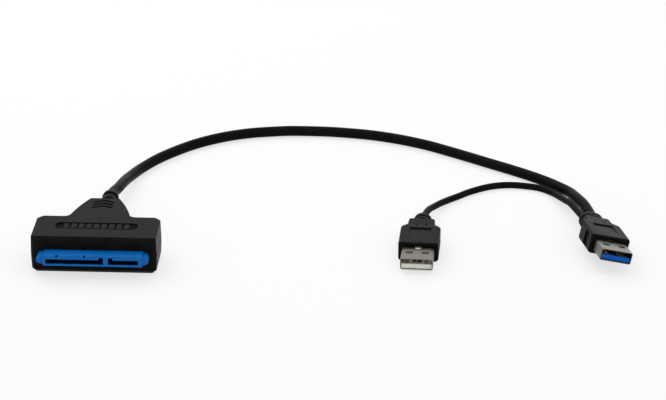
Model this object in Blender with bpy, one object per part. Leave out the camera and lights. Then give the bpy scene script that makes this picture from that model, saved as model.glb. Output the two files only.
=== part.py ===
# USB to SATA adapter: a 22-way SATA housing, one main cable with a USB 3 plug, and a thin supply
# cable that leaves the same plug and ends in a USB 2 plug. Metres, +Z up.
#
# The housing stands on z = 0. Its mating face looks along -Y and its width runs along X. The origin
# is on the standing surface, under the middle of the housing and its strain relief.

import math

import bmesh
import bpy
from mathutils import Matrix, Vector

for old_object in list(bpy.data.objects):
    bpy.data.objects.remove(old_object, do_unlink=True)

# Clearances between pieces that touch on the real adapter
FIT = 0.0003            # between pieces that seat on each other
SEAM = 0.00015          # at the parting line of the two housing shells
SNUG = 0.00010          # under soldered parts and along pressed contacts

# Housing, two moulded shells. Depths are measured back from the mating face.
HEAD_WIDTH = 0.0464
HEAD_HEIGHT = 0.0143
BOX_DEPTH = 0.0200
NECK_END = 0.0368
NECK_BASE_HALF = 0.0119
NECK_END_HALF = 0.00555
NECK_BULGE = 0.0005
NECK_FILLET = 0.0016
NECK_CORNER = 0.0004
WALL = 0.0015
FRONT_BEVEL = 0.0013
BACK_CHAMFER = 0.0023
TOP_CHAMFER = 0.0012
BOTTOM_CHAMFER = 0.0015
DRAFT = 0.0002
LIP_HEIGHT = 0.0010
POST_RADIUS = 0.0011

# Marks moulded in the top of the housing
RECESS_LENGTH = 0.0304
RECESS_WIDTH = 0.0055
RECESS_DEPTH = 0.0004
RECESS_BACK = 0.0113
RECESS_END_CHAMFER = 0.0012
BAR_WIDTH = 0.0011
BAR_COUNT = 9
CHEVRON_HALF = 0.0038
CHEVRON_RISE = 0.00185
CHEVRON_STROKE = 0.0006
CHEVRON_PITCH = 0.00243
CHEVRON_FIRST = 0.02735
CHEVRON_COUNT = 3
MARK_DEPTH = 0.0003
GATE_BACK = 0.0180
GATE_RADIUS = 0.0004

# SATA receptacle: slot widths and contact pitch are the standard ones
SLOT_POWER = 0.02057
SLOT_SIGNAL = 0.01041
KEY_WALL = 0.00241
CONTACT_PITCH = 0.00127
POWER_CONTACTS = 15
SIGNAL_CONTACTS = 7
SLOT_END_MARGIN = 0.00082
SLOT_HEIGHT = 0.0014
SLOT_DEPTH = 0.0062
KEY_WIDTH = 0.0014
KEY_HEIGHT = 0.0008
NOSE_OUT = 0.0048
NOSE_SIDE_WALL = 0.0013
NOSE_FLOOR = 0.0010
NOSE_ROOF = 0.0010
NOSE_RAISE = 0.00025
EAR_INNER = 0.0013
EAR_OUTER = 0.0012
EAR_STEP = 0.0006
EAR_SLOPE = 0.0007
EAR_SET_BACK = 0.0006
SLOT_LEAD = 0.0004
FLANGE_DEPTH = 0.0035
FLANGE_EDGE = 0.0006
GROOVE_WIDTH = 0.0009
GROOVE_HEIGHT = 0.0007
GROOVE_FRONT = 0.0009
PIT_SIZE = 0.0006
PIT_DEPTH = 0.0008
PIT_PLACES = (-0.0128, -0.0027)
CONTACT_WIDTH = 0.0006
CONTACT_SHEET = 0.0002
CONTACT_CREST = 0.0012
CONTACT_HEEL = 0.0033
CONTACT_DIP = 0.0005
CONTACT_TIP_RISE = 0.0002
CONTACT_TAIL = 0.0018

# Circuit board between the receptacle and the cable
BOARD_SHEET = 0.0012
BOARD_SIDE_GAP = 0.0035
BOARD_BACK_GAP = 0.0006
BOARD_NECK_HALF = 0.0046
BOARD_NECK_END = 0.0300
POST_INSET = 0.0035

# Parts on the board: how far each stands from the middle line, then width, depth and height
CHIP_PLACE = -0.0040
CHIP_SIZE = (0.0070, 0.0070, 0.0009)
FLASH_PLACE = 0.0060
FLASH_SIZE = (0.0050, 0.0040, 0.0015)
CRYSTAL_PLACE = -0.0118
CRYSTAL_SIZE = (0.0032, 0.0025, 0.0008)
CAPACITOR_PLACE = 0.0125
CAPACITOR_SIZE = (0.0020, 0.0013, 0.0012)
INDUCTOR_SIZE = (0.0040, 0.0040, 0.0020)
REGULATOR_SIZE = (0.0030, 0.0026, 0.0011)
NECK_PART_GAP = 0.0015      # between the two parts in the neck
PART_DRAFT = 0.1            # of a part's sides, as a share of its height
PART_WAIST = 0.4            # height of a part's widest line, as a share of its height

# Strain relief between the housing and the main cable
BOOT_END = 0.0550
BOOT_RADIUS = 0.00325
BOOT_WAIST = 0.0027
BOOT_COLLAR = 0.0040
BOOT_COLLAR_DEPTH = 0.0015
BOOT_RINGS = 3
BOOT_RING_SHARE = 0.58
BOOT_DOME = 0.0032
BOOT_MOUTH = 0.0024

# Cables
MAIN_DIAMETER = 0.0042
THIN_DIAMETER = 0.0026
POINT_SPACING = 2.0         # of a cable's points, in cable diameters

# USB-A plugs: the shell section and the contact places are the standard ones
SHELL_WIDTH = 0.0120
SHELL_HEIGHT = 0.0045
SHELL_SHEET = 0.0003
SHELL_CORNER = 0.0007
SHELL_OUT = 0.0106
SHELL_IN = 0.0060
WINDOW_SIZE = 0.0025
WINDOW_LENGTH = 0.0020
WINDOW_HALF_SPAN = 0.0030
WINDOW_FROM_TIP = 0.0056
NOTCH_WIDTH = 0.0027
NOTCH_TAPER = 0.0006
NOTCH_LENGTH = 0.0018
TONGUE_SHEET = 0.0018
TONGUE_SET_BACK = 0.0005
TONGUE_BASE = 0.0020
PAD_SHEET = 0.0002
PAD_WIDTH = 0.0011
PAD_PLACES = (-0.0035, -0.0010, 0.0010, 0.0035)
PAD_FROM_TIP = 0.0011
PAD_LENGTH = 0.0049
PAD_STAGGER = 0.0010
SPRING_PLACES = (-0.0040, -0.0020, 0.0, 0.0020, 0.0040)
SPRING_WIDTH = 0.0006
SPRING_LENGTH = 0.0022
SPRING_FOOT = 0.0004
SPRING_RISE = 0.0005
MOULD_LENGTH = 0.0062
MOULD_INSET = 0.0007

# Moulded body of both plugs. Depths are measured back from its front face.
BODY_WIDTH = 0.0150
BODY_HEIGHT = 0.0076
BODY_TOP_CORNER = 0.0008
BODY_BOTTOM_CORNER = 0.0014
BODY_EDGE = 0.0007
BODY_DEPTH = 0.0152
SHOULDER_DEPTH = 0.0025
STEP_WIDTH = 0.0102
STEP_HEIGHT = 0.0073
STEP_END_WIDTH = 0.0090
STEP_DEPTH = 0.0053
TAIL_RING = 0.0015
TAIL_GROOVE = 0.0009
TAIL_GROOVE_DEPTH = 0.0006
TAIL_RINGS = 2
TAIL_DOME = 0.0018
TAIL_HEIGHT = 0.0069
TAIL_MOUTH_HEIGHT = 0.0048
USB2_TAIL_WIDTH = 0.0071
USB3_TAIL_WIDTH = 0.0094
GRIP_FRONT = 0.0036
GRIP_LENGTH = 0.0040
GRIP_DEPTH = 0.0004
GRIP_HALF_HEIGHT = 0.0024
PANEL_HALF = 0.0040
PANEL_BACK = 0.0139
PANEL_DEPTH = 0.0003
PANEL_LENGTH = 0.0100
DOT_BACK = 0.0169
DOT_HALF_SPAN = 0.00185
DOT_RADIUS = 0.00035

# Where each plug's tail lies, its turn seen from above, its lean about its own axis and the lift of
# its nose. The stiff pair of cables holds the USB 3 plug over on its right-hand lower edge.
USB3_TAIL = (0.18330, 0.02316)
USB3_TURN = math.radians(11.4)
USB3_LEAN = math.radians(14.1)
USB3_LIFT = math.radians(4.4)
USB2_TAIL = (0.12001, 0.02072)
USB2_TURN = math.radians(-2.6)

# Routes of the cables between their ends: points chosen along the cable, in metres
MAIN_ROUTE = (
    (0.0001, 0.0318, 0.0071), (-0.0002, 0.0336, 0.0069), (0.0007, 0.0369, 0.0065),
    (0.0014, 0.0415, 0.0059), (0.0021, 0.0477, 0.005), (0.0030, 0.0542, 0.0039),
    (0.0043, 0.0605, 0.0029), (0.0058, 0.0660, 0.0023), (0.0078, 0.0705, 0.00215),
    (0.0117, 0.0775, 0.00215), (0.0167, 0.0844, 0.00215), (0.0241, 0.0928, 0.00215),
    (0.0316, 0.0991, 0.00215), (0.0395, 0.1039, 0.00215), (0.0475, 0.1072, 0.00215),
    (0.0556, 0.1091, 0.00215), (0.0636, 0.1104, 0.00215), (0.0718, 0.1105, 0.00215),
    (0.0801, 0.1102, 0.00215), (0.0885, 0.1091, 0.00215), (0.0968, 0.1075, 0.00215),
    (0.1052, 0.1049, 0.00215), (0.1134, 0.1014, 0.00215), (0.1216, 0.0970, 0.00215),
    (0.1298, 0.0915, 0.00215), (0.1379, 0.0858, 0.00215), (0.1459, 0.0800, 0.00215),
    (0.1539, 0.0743, 0.00215), (0.1618, 0.0682, 0.00215), (0.1693, 0.0614, 0.0022),
    (0.1763, 0.0522, 0.0027), (0.1783, 0.0472, 0.0032), (0.1798, 0.0426, 0.0037),
    (0.1813, 0.0381, 0.004), (0.1827, 0.0329, 0.004),
)
THIN_ROUTE = (
    (0.1767, 0.0371, 0.0042), (0.1751, 0.0415, 0.0035), (0.1727, 0.0475, 0.0025),
    (0.1700, 0.0531, 0.0017), (0.1659, 0.0576, 0.0014), (0.1615, 0.0595, 0.00135),
    (0.1537, 0.0607, 0.00135), (0.1459, 0.0588, 0.00135), (0.1380, 0.0534, 0.00135),
    (0.1333, 0.0487, 0.00135), (0.1296, 0.0448, 0.0015), (0.1263, 0.0402, 0.00195),
    (0.1237, 0.0350, 0.0027), (0.1220, 0.0310, 0.0033), (0.1208, 0.0260, 0.00375),
)

# Sizes that follow from those above
FACE_Y = (NOSE_OUT - BOOT_END) / 2
MID_HEIGHT = HEAD_HEIGHT / 2
SLOT_SPAN = SLOT_POWER + KEY_WALL + SLOT_SIGNAL
NOSE_HALF = SLOT_SPAN / 2 + NOSE_SIDE_WALL
NOSE_HEIGHT = NOSE_FLOOR + SLOT_HEIGHT + KEY_HEIGHT + NOSE_ROOF
NOSE_BOTTOM = MID_HEIGHT - NOSE_HEIGHT / 2 + NOSE_RAISE
SLOT_FLOOR = NOSE_BOTTOM + NOSE_FLOOR
SLOT_ROOF = SLOT_FLOOR + SLOT_HEIGHT
NOSE_TOP = NOSE_BOTTOM + NOSE_HEIGHT
EAR_HALF = NOSE_HALF + EAR_INNER + EAR_OUTER
RECEPTACLE_BACK = WALL + FIT + FLANGE_DEPTH
TAIL_LEVEL = SLOT_ROOF + GROOVE_HEIGHT / 2
BOARD_TOP = TAIL_LEVEL - CONTACT_SHEET / 2 - SNUG
BOARD_BOTTOM = BOARD_TOP - BOARD_SHEET
MAIN_RADIUS = MAIN_DIAMETER / 2
THIN_RADIUS = THIN_DIAMETER / 2
PAIR_WIDTH = MAIN_DIAMETER + FIT + THIN_DIAMETER
MAIN_SIDE = PAIR_WIDTH / 2 - MAIN_RADIUS
THIN_SIDE = THIN_RADIUS - PAIR_WIDTH / 2
TAIL_PITCH = TAIL_RING + TAIL_GROOVE
TAIL_LENGTH = TAIL_RINGS * TAIL_PITCH + TAIL_DOME
BODY_LENGTH = BODY_DEPTH + SHOULDER_DEPTH + STEP_DEPTH + TAIL_LENGTH


# Materials

def material(name, colour, roughness, metallic=0.0):
    made = bpy.data.materials.new(name)
    made.use_nodes = True
    shader = made.node_tree.nodes["Principled BSDF"]
    shader.inputs["Base Color"].default_value = (*colour, 1.0)
    shader.inputs["Roughness"].default_value = roughness
    shader.inputs["Metallic"].default_value = metallic
    return made


black_case = material("black_case", (0.020, 0.020, 0.022), 0.55)
black_jacket = material("black_jacket", (0.012, 0.012, 0.013), 0.45)
blue_receptacle = material("blue_receptacle", (0.008, 0.130, 0.430), 0.45)
blue_tongue = material("blue_tongue", (0.003, 0.100, 0.400), 0.40)
ivory_tongue = material("ivory_tongue", (0.560, 0.555, 0.500), 0.45)
tin_steel = material("tin_steel", (0.560, 0.550, 0.510), 0.30, 1.0)
gold_contact = material("gold_contact", (0.600, 0.410, 0.160), 0.30, 1.0)
green_board = material("green_board", (0.010, 0.120, 0.040), 0.40)
black_chip = material("black_chip", (0.018, 0.018, 0.020), 0.50)
steel_can = material("steel_can", (0.600, 0.600, 0.600), 0.30, 1.0)
grey_ferrite = material("grey_ferrite", (0.080, 0.080, 0.085), 0.60)
tan_ceramic = material("tan_ceramic", (0.420, 0.300, 0.180), 0.60)
clear_mould = material("clear_mould", (0.500, 0.500, 0.480), 0.50)


# Mesh helpers

def finish(name, shape, surface, smooth_angle=30.0, parent=None):
    bmesh.ops.recalc_face_normals(shape, faces=shape.faces)
    mesh = bpy.data.meshes.new(name)
    shape.to_mesh(mesh)
    shape.free()
    mesh.shade_smooth()
    mesh.set_sharp_from_angle(angle=math.radians(smooth_angle))
    piece = bpy.data.objects.new(name, mesh)
    if surface:
        mesh.materials.append(surface)
    piece.parent = parent
    bpy.context.scene.collection.objects.link(piece)
    return piece


def skin_rings(shape, rings, closed=False):
    # Joins rings of equally many points by quads, and closes both ends unless the rings go all round
    loops = [[shape.verts.new(point) for point in ring] for ring in rings]
    pairs = list(zip(loops, loops[1:]))
    if closed:
        pairs.append((loops[-1], loops[0]))
    for first, second in pairs:
        for index in range(len(first)):
            after = (index + 1) % len(first)
            shape.faces.new((first[index], first[after], second[after], second[index]))
    if not closed:
        shape.faces.new(loops[0])
        shape.faces.new(loops[-1])


def add_box(shape, low, high):
    low = Vector(low)
    high = Vector(high)
    corners = ((low.x, low.y), (high.x, low.y), (high.x, high.y), (low.x, high.y))
    base = [Vector((x, y, low.z)) for x, y in corners]
    skin_rings(shape, [base, [point + Vector((0, 0, high.z - low.z)) for point in base]])


def box_piece(name, low, high, surface, parent=None):
    shape = bmesh.new()
    add_box(shape, low, high)
    return finish(name, shape, surface, parent=parent)


def prism(outline, low, high):
    # An outline in X and Y, standing between two heights
    shape = bmesh.new()
    skin_rings(shape, [[(x, y, level) for x, y in outline] for level in (low, high)])
    return shape


def side_prism(profile, low, high):
    # A profile in Y and Z, as wide in X as given
    shape = bmesh.new()
    skin_rings(shape, [[(x, y, z) for y, z in profile] for x in (low, high)])
    return shape


def front_prism(outline, low, high):
    # An outline in X and Z, as deep in Y as given
    shape = bmesh.new()
    skin_rings(shape, [[(x, y, z) for x, z in outline] for y in (low, high)])
    return shape


def combine(target, tools, operation):
    for tool in tools:
        tool.hide_render = True
        tool.display_type = "WIRE"
        step = target.modifiers.new(tool.name, "BOOLEAN")
        step.operation = operation
        step.solver = "EXACT"
        step.object = tool


def cut(target, *tools):
    combine(target, tools, "DIFFERENCE")


def join(target, *tools):
    combine(target, tools, "UNION")


def inset_outline(points, distance):
    # Moves every side of a counter-clockwise outline inwards by the same distance
    moved = []
    for index, here in enumerate(points):
        before = Vector(points[index - 1])
        after = Vector(points[(index + 1) % len(points)])
        here = Vector(here)
        first = (here - before).normalized()
        second = (after - here).normalized()
        first_normal = Vector((-first.y, first.x))
        second_normal = Vector((-second.y, second.x))
        bisector = (first_normal + second_normal) / (1 + first_normal.dot(second_normal))
        moved.append(tuple(here + bisector * distance))
    return moved


def bezier(start, control, end, steps):
    # Points along a quadratic curve, without its last point
    points = []
    for index in range(steps):
        t = index / steps
        points.append(tuple(
            (1 - t) ** 2 * a + 2 * t * (1 - t) * b + t ** 2 * c for a, b, c in zip(start, control, end)))
    return points


def section(width, height, top_radius, bottom_radius, steps=4):
    # A rounded rectangle in X and Z around the axis, with its own radius above and below
    points = []
    corners = ((1, -1, bottom_radius, -90), (1, 1, top_radius, 0), (-1, 1, top_radius, 90),
               (-1, -1, bottom_radius, 180))
    for side, level, radius, start in corners:
        centre_x = side * (width / 2 - radius)
        centre_z = level * (height / 2 - radius)
        for index in range(steps + 1):
            angle = math.radians(start + 90 * index / steps)
            points.append((centre_x + radius * math.cos(angle), centre_z + radius * math.sin(angle)))
    return points


def turned(profile, segments=24):
    # Turns a profile of (distance along Y, radius) about the Y axis
    shape = bmesh.new()
    rings = []
    for along, radius in profile:
        ring = []
        for index in range(segments):
            angle = 2 * math.pi * index / segments
            ring.append((radius * math.cos(angle), along, radius * math.sin(angle)))
        rings.append(ring)
    skin_rings(shape, rings)
    return shape


def strip(centre, sheet):
    # The two sides of a bent strip around its centre line, as one closed profile
    upper = []
    lower = []
    for index, point in enumerate(centre):
        here = Vector(point)
        first = (here - Vector(centre[index - 1])).normalized() if index else None
        second = (Vector(centre[index + 1]) - here).normalized() if index + 1 < len(centre) else None
        first = first or second
        second = second or first
        normals = [Vector((-way.y, way.x)) for way in (first, second)]
        offset = (normals[0] + normals[1]) / (1 + normals[0].dot(normals[1])) * sheet / 2
        upper.append(tuple(here + offset))
        lower.append(tuple(here - offset))
    return lower + upper[::-1]


# Housing

def head_outline(neck_corner=NECK_CORNER):
    # Half of the outline seen from above, from the mating face back to the neck, then its mirror
    half = HEAD_WIDTH / 2
    slope = (NECK_BASE_HALF - NECK_END_HALF) / (NECK_END - BOX_DEPTH)
    foot = (NECK_BASE_HALF - slope * NECK_FILLET, BOX_DEPTH + NECK_FILLET)
    corner = (NECK_END_HALF + slope * neck_corner, NECK_END - neck_corner)
    bulge = ((foot[0] + corner[0]) / 2 + 2 * NECK_BULGE, (foot[1] + corner[1]) / 2)
    right = [(half - FRONT_BEVEL, 0.0), (half, FRONT_BEVEL)]
    right += [(half, BOX_DEPTH - BACK_CHAMFER), (half - BACK_CHAMFER, BOX_DEPTH)]
    right += bezier((NECK_BASE_HALF + NECK_FILLET, BOX_DEPTH), (NECK_BASE_HALF, BOX_DEPTH), foot, 5)
    right += bezier(foot, bulge, corner, 6)
    right.append(corner)
    if neck_corner:
        right.append((NECK_END_HALF - neck_corner, NECK_END))
    outline = right + [(-x, y) for x, y in reversed(right)]
    return [(x, FACE_Y + y) for x, y in outline]


def inner_outline(inset):
    # The outline of a wall's inner side, where the neck's corners are plain
    return inset_outline(head_outline(0.0), inset)


def head_levels(levels):
    # A closed solid through the housing outline, inset at each level as given
    outline = head_outline()
    shape = bmesh.new()
    skin_rings(shape, [[(x, y, z) for x, y in inset_outline(outline, inset)] for z, inset in levels])
    return shape


def receptacle_outline(grow):
    # Front view of the receptacle: the nose with a guide ear at each end, sloped at its outer corners
    low = NOSE_BOTTOM
    high = NOSE_TOP
    right = [(NOSE_HALF, low), (NOSE_HALF, low + EAR_STEP)]
    right += [(NOSE_HALF + EAR_INNER, low + EAR_STEP), (EAR_HALF, low + 2 * EAR_STEP)]
    right += [(EAR_HALF, high - 3 * EAR_STEP), (EAR_HALF - EAR_SLOPE, high - EAR_STEP)]
    right += [(NOSE_HALF, high - EAR_STEP), (NOSE_HALF, high)]
    return inset_outline(right + [(-x, z) for x, z in reversed(right)], -grow)


def front_window():
    shape = front_prism(receptacle_outline(FIT), FACE_Y - WALL, FACE_Y + 2 * WALL)
    return finish("front_window", shape, None)


def neck_hole(name):
    shape = turned([(NECK_END - 2 * WALL, BOOT_WAIST + FIT), (NECK_END + WALL, BOOT_WAIST + FIT)])
    hole = finish(name, shape, None)
    hole.location = (0.0, FACE_Y, MID_HEIGHT)
    return hole


def board_posts():
    # Four posts on the floor of the lower shell carry the board
    posts = []
    for side in (-1, 1):
        for back in (RECEPTACLE_BACK + POST_INSET, BOX_DEPTH - WALL - POST_INSET):
            profile = [(WALL / 2, POST_RADIUS), (BOARD_BOTTOM - FIT, POST_RADIUS)]
            post = finish("board_post", turned(profile, 16), None)
            post.rotation_euler = (math.radians(90), 0.0, 0.0)
            post.location = (side * (HEAD_WIDTH / 2 - BOARD_SIDE_GAP - POST_INSET), FACE_Y + back, 0.0)
            posts.append(post)
    return posts


def lower_shell():
    seam = MID_HEIGHT - SEAM / 2
    shell = finish("lower_shell", head_levels(
        [(0.0, BOTTOM_CHAMFER + DRAFT), (BOTTOM_CHAMFER, DRAFT), (seam, 0.0)]), black_case)
    lip = finish("lower_lip", prism(inner_outline(WALL / 2), WALL, MID_HEIGHT + LIP_HEIGHT), None)
    cavity = finish("lower_cavity", prism(inner_outline(WALL), WALL, HEAD_HEIGHT), None)
    join(shell, lip)
    cut(shell, cavity, front_window(), neck_hole("lower_neck_hole"))
    join(shell, *board_posts())
    return shell


def label_recess():
    # A shallow pill with chamfered ends
    half = RECESS_LENGTH / 2
    side = RECESS_WIDTH / 2
    end = RECESS_END_CHAMFER
    right = [(half - end, -side), (half, -side + end), (half, side - end), (half - end, side)]
    middle = FACE_Y + RECESS_BACK
    outline = [(x, middle + y) for x, y in right] + [(-x, middle + y) for x, y in reversed(right)]
    return finish("label_recess", prism(outline, HEAD_HEIGHT - RECESS_DEPTH, HEAD_HEIGHT + WALL), None)


def label_bars():
    # Plain raised bars stand in the recess, flush with the top
    pitch = (RECESS_LENGTH - 2 * RECESS_END_CHAMFER) / (BAR_COUNT + 1)
    half_length = RECESS_WIDTH / 2 - RECESS_END_CHAMFER / 2
    shape = bmesh.new()
    for index in range(BAR_COUNT):
        centre = (index - (BAR_COUNT - 1) / 2) * pitch
        add_box(shape, (centre - BAR_WIDTH / 2, FACE_Y + RECESS_BACK - half_length, HEAD_HEIGHT - WALL / 2),
                (centre + BAR_WIDTH / 2, FACE_Y + RECESS_BACK + half_length, HEAD_HEIGHT - RECESS_DEPTH / 4))
    return finish("label_bars", shape, None)


def chevrons():
    shape = bmesh.new()
    for index in range(CHEVRON_COUNT):
        back = FACE_Y + CHEVRON_FIRST + index * CHEVRON_PITCH
        front_edge = [(-CHEVRON_HALF, back), (0.0, back + CHEVRON_RISE), (CHEVRON_HALF, back)]
        outline = front_edge + [(x, y + CHEVRON_STROKE) for x, y in reversed(front_edge)]
        levels = (HEAD_HEIGHT - MARK_DEPTH, HEAD_HEIGHT + WALL)
        skin_rings(shape, [[(x, y, level) for x, y in outline] for level in levels])
    return finish("chevrons", shape, None)


def gate_mark():
    profile = [(HEAD_HEIGHT - MARK_DEPTH, GATE_RADIUS), (HEAD_HEIGHT + WALL, GATE_RADIUS)]
    mark = finish("gate_mark", turned(profile, 12), None)
    mark.rotation_euler = (math.radians(90), 0.0, 0.0)
    mark.location = (0.0, FACE_Y + GATE_BACK, 0.0)
    return mark


def top_front_chamfer():
    # The top is chamfered along its front edge only
    out = HEAD_HEIGHT + WALL
    profile = [(FACE_Y - WALL, HEAD_HEIGHT - TOP_CHAMFER - WALL), (FACE_Y + TOP_CHAMFER + WALL, out)]
    profile += [(FACE_Y - WALL, out)]
    return finish("top_front_chamfer", side_prism(profile, -HEAD_WIDTH, HEAD_WIDTH), None)


def upper_shell():
    seam = MID_HEIGHT + SEAM / 2
    shell = finish("upper_shell", head_levels([(seam, 0.0), (HEAD_HEIGHT, DRAFT)]), black_case)
    rebate = finish("upper_rebate", prism(
        inner_outline(WALL / 2 - FIT / 2), WALL, MID_HEIGHT + LIP_HEIGHT + FIT), None)
    cavity = finish("upper_cavity", prism(inner_outline(WALL), WALL, HEAD_HEIGHT - WALL), None)
    cut(shell, rebate, cavity, front_window(), neck_hole("upper_neck_hole"))
    cut(shell, top_front_chamfer(), label_recess(), chevrons(), gate_mark())
    join(shell, label_bars())
    return shell


# SATA receptacle

def slot_ends():
    # Left and right end of the power slot and of the signal slot
    left = -SLOT_SPAN / 2
    power = (left, left + SLOT_POWER)
    signal = (power[1] + KEY_WALL, power[1] + KEY_WALL + SLOT_SIGNAL)
    return power, signal


def slot_cutters():
    # Each slot is an L: its raised leg lies beside the wall between the slots, and its mouth is chamfered
    front = FACE_Y - NOSE_OUT
    power, signal = slot_ends()
    power_outline = [(power[0], SLOT_FLOOR), (power[1], SLOT_FLOOR), (power[1], SLOT_ROOF + KEY_HEIGHT)]
    power_outline += [(power[1] - KEY_WIDTH, SLOT_ROOF + KEY_HEIGHT), (power[1] - KEY_WIDTH, SLOT_ROOF)]
    power_outline += [(power[0], SLOT_ROOF)]
    signal_outline = [(signal[0], SLOT_FLOOR), (signal[1], SLOT_FLOOR), (signal[1], SLOT_ROOF)]
    signal_outline += [(signal[0] + KEY_WIDTH, SLOT_ROOF), (signal[0] + KEY_WIDTH, SLOT_ROOF + KEY_HEIGHT)]
    signal_outline += [(signal[0], SLOT_ROOF + KEY_HEIGHT)]
    cutters = []
    for name, outline in (("power_slot", power_outline), ("signal_slot", signal_outline)):
        cutters.append(finish(name, front_prism(outline, front - WALL, front + SLOT_DEPTH), None))
        lead = bmesh.new()
        skin_rings(lead, [[(x, front - SLOT_LEAD, z) for x, z in inset_outline(outline, -2 * SLOT_LEAD)],
                          [(x, front + SLOT_LEAD + SNUG, z) for x, z in inset_outline(outline, SNUG)]])
        cutters.append(finish(f"{name}_lead", lead, None))
    return cutters


def contact_places():
    # Name and place of each contact: power from the outer end inwards, then signal outwards
    power, signal = slot_ends()
    places = []
    for index in range(POWER_CONTACTS):
        place = power[0] + SLOT_END_MARGIN + index * CONTACT_PITCH
        places.append((f"sata_power_contact_{POWER_CONTACTS - index}", place))
    for index in range(SIGNAL_CONTACTS):
        place = signal[1] - SLOT_END_MARGIN - index * CONTACT_PITCH
        places.append((f"sata_signal_contact_{index + 1}", place))
    return places


def contact_grooves():
    front = FACE_Y - NOSE_OUT
    shape = bmesh.new()
    for _, place in contact_places():
        add_box(shape, (place - GROOVE_WIDTH / 2, front + GROOVE_FRONT, SLOT_ROOF - SNUG),
                (place + GROOVE_WIDTH / 2, FACE_Y + RECEPTACLE_BACK + WALL, SLOT_ROOF + GROOVE_HEIGHT))
    return finish("contact_grooves", shape, None)


def nose_pits():
    front = FACE_Y - NOSE_OUT
    middle = SLOT_ROOF + KEY_HEIGHT
    shape = bmesh.new()
    for place in PIT_PLACES:
        add_box(shape, (place - PIT_SIZE / 2, front - WALL, middle),
                (place + PIT_SIZE / 2, front + PIT_DEPTH, middle + PIT_SIZE))
    return finish("nose_pits", shape, None)


def ear_trims():
    # The ears stop a little short of the front of the nose
    front = FACE_Y - NOSE_OUT
    shape = bmesh.new()
    for side in (-1, 1):
        inner = side * NOSE_HALF
        outer = side * (EAR_HALF + WALL)
        add_box(shape, (min(inner, outer), front - WALL, NOSE_BOTTOM - WALL),
                (max(inner, outer), front + EAR_SET_BACK, NOSE_TOP + WALL))
    return finish("ear_trims", shape, None)


def sata_receptacle():
    front = FACE_Y - NOSE_OUT
    body = finish("sata_connector_body", front_prism(
        receptacle_outline(0.0), front, FACE_Y + WALL + FIT + FLANGE_DEPTH / 2), blue_receptacle)
    flange = box_piece("receptacle_flange",
                       (-EAR_HALF - FLANGE_EDGE, FACE_Y + WALL + FIT, NOSE_BOTTOM - FLANGE_EDGE),
                       (EAR_HALF + FLANGE_EDGE, FACE_Y + RECEPTACLE_BACK, NOSE_TOP + FLANGE_EDGE), None)
    join(body, flange)
    cut(body, *slot_cutters())
    cut(body, contact_grooves(), nose_pits(), ear_trims())
    return body


def sata_contacts():
    # A tin-plated spring: a straight tail, a run down into the slot, and a tip turned up again
    front = FACE_Y - NOSE_OUT + GROOVE_FRONT + SNUG
    tip = front + FIT
    tail = FACE_Y + RECEPTACLE_BACK + CONTACT_TAIL
    crest = tip + CONTACT_CREST
    heel = tip + CONTACT_HEEL
    dip = SLOT_ROOF - CONTACT_DIP
    centre = [(tip, SLOT_ROOF + CONTACT_TIP_RISE), (crest - FIT, dip + SNUG), (crest, dip)]
    centre += [(crest + FIT, dip + SNUG), (heel, TAIL_LEVEL - SNUG), (heel + 2 * FIT, TAIL_LEVEL)]
    centre += [(tail, TAIL_LEVEL)]
    profile = strip(centre, CONTACT_SHEET)
    contacts = []
    for name, place in contact_places():
        if not contacts:
            contact = finish(name, side_prism(profile, -CONTACT_WIDTH / 2, CONTACT_WIDTH / 2), gold_contact)
        else:
            contact = bpy.data.objects.new(name, contacts[0].data)
            bpy.context.scene.collection.objects.link(contact)
        contact.location = (place, 0.0, 0.0)
        contacts.append(contact)
    return contacts


# Circuit board and what is soldered to it

def bridge_board():
    half = HEAD_WIDTH / 2 - BOARD_SIDE_GAP
    front = RECEPTACLE_BACK + FIT
    back = BOX_DEPTH - WALL - BOARD_BACK_GAP
    right = [(half, front), (half, back), (BOARD_NECK_HALF, back), (BOARD_NECK_HALF, BOARD_NECK_END)]
    outline = [(x, FACE_Y + y) for x, y in right] + [(-x, FACE_Y + y) for x, y in reversed(right)]
    return finish("bridge_board", prism(outline, BOARD_BOTTOM, BOARD_TOP), green_board)


def soldered_part(name, centre, size, surface):
    # A moulded or capped part, a little narrower at its top, standing on the board
    bottom = BOARD_TOP + SNUG
    taper = size[2] * PART_DRAFT
    rings = []
    for level, inset in ((0.0, taper), (size[2] * PART_WAIST, 0.0), (size[2], taper)):
        half_x = size[0] / 2 - inset
        half_y = size[1] / 2 - inset
        middle_y = FACE_Y + centre[1]
        rings.append([(centre[0] + side_x * half_x, middle_y + side_y * half_y, bottom + level)
                      for side_x, side_y in ((-1, -1), (1, -1), (1, 1), (-1, 1))])
    shape = bmesh.new()
    skin_rings(shape, rings)
    return finish(name, shape, surface)


def board_parts():
    middle = (RECEPTACLE_BACK + CONTACT_TAIL + BOX_DEPTH - WALL) / 2
    soldered_part("bridge_chip", (CHIP_PLACE, middle), CHIP_SIZE, black_chip)
    soldered_part("flash_chip", (FLASH_PLACE, middle), FLASH_SIZE, black_chip)
    soldered_part("crystal", (CRYSTAL_PLACE, middle), CRYSTAL_SIZE, steel_can)
    soldered_part("capacitor", (CAPACITOR_PLACE, middle), CAPACITOR_SIZE, tan_ceramic)
    neck = (BOX_DEPTH + BOARD_NECK_END) / 2
    before = neck - (INDUCTOR_SIZE[1] + NECK_PART_GAP) / 2
    behind = neck + (REGULATOR_SIZE[1] + NECK_PART_GAP) / 2
    soldered_part("inductor", (0.0, before), INDUCTOR_SIZE, grey_ferrite)
    soldered_part("regulator", (0.0, behind), REGULATOR_SIZE, black_chip)


# Strain relief

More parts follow.
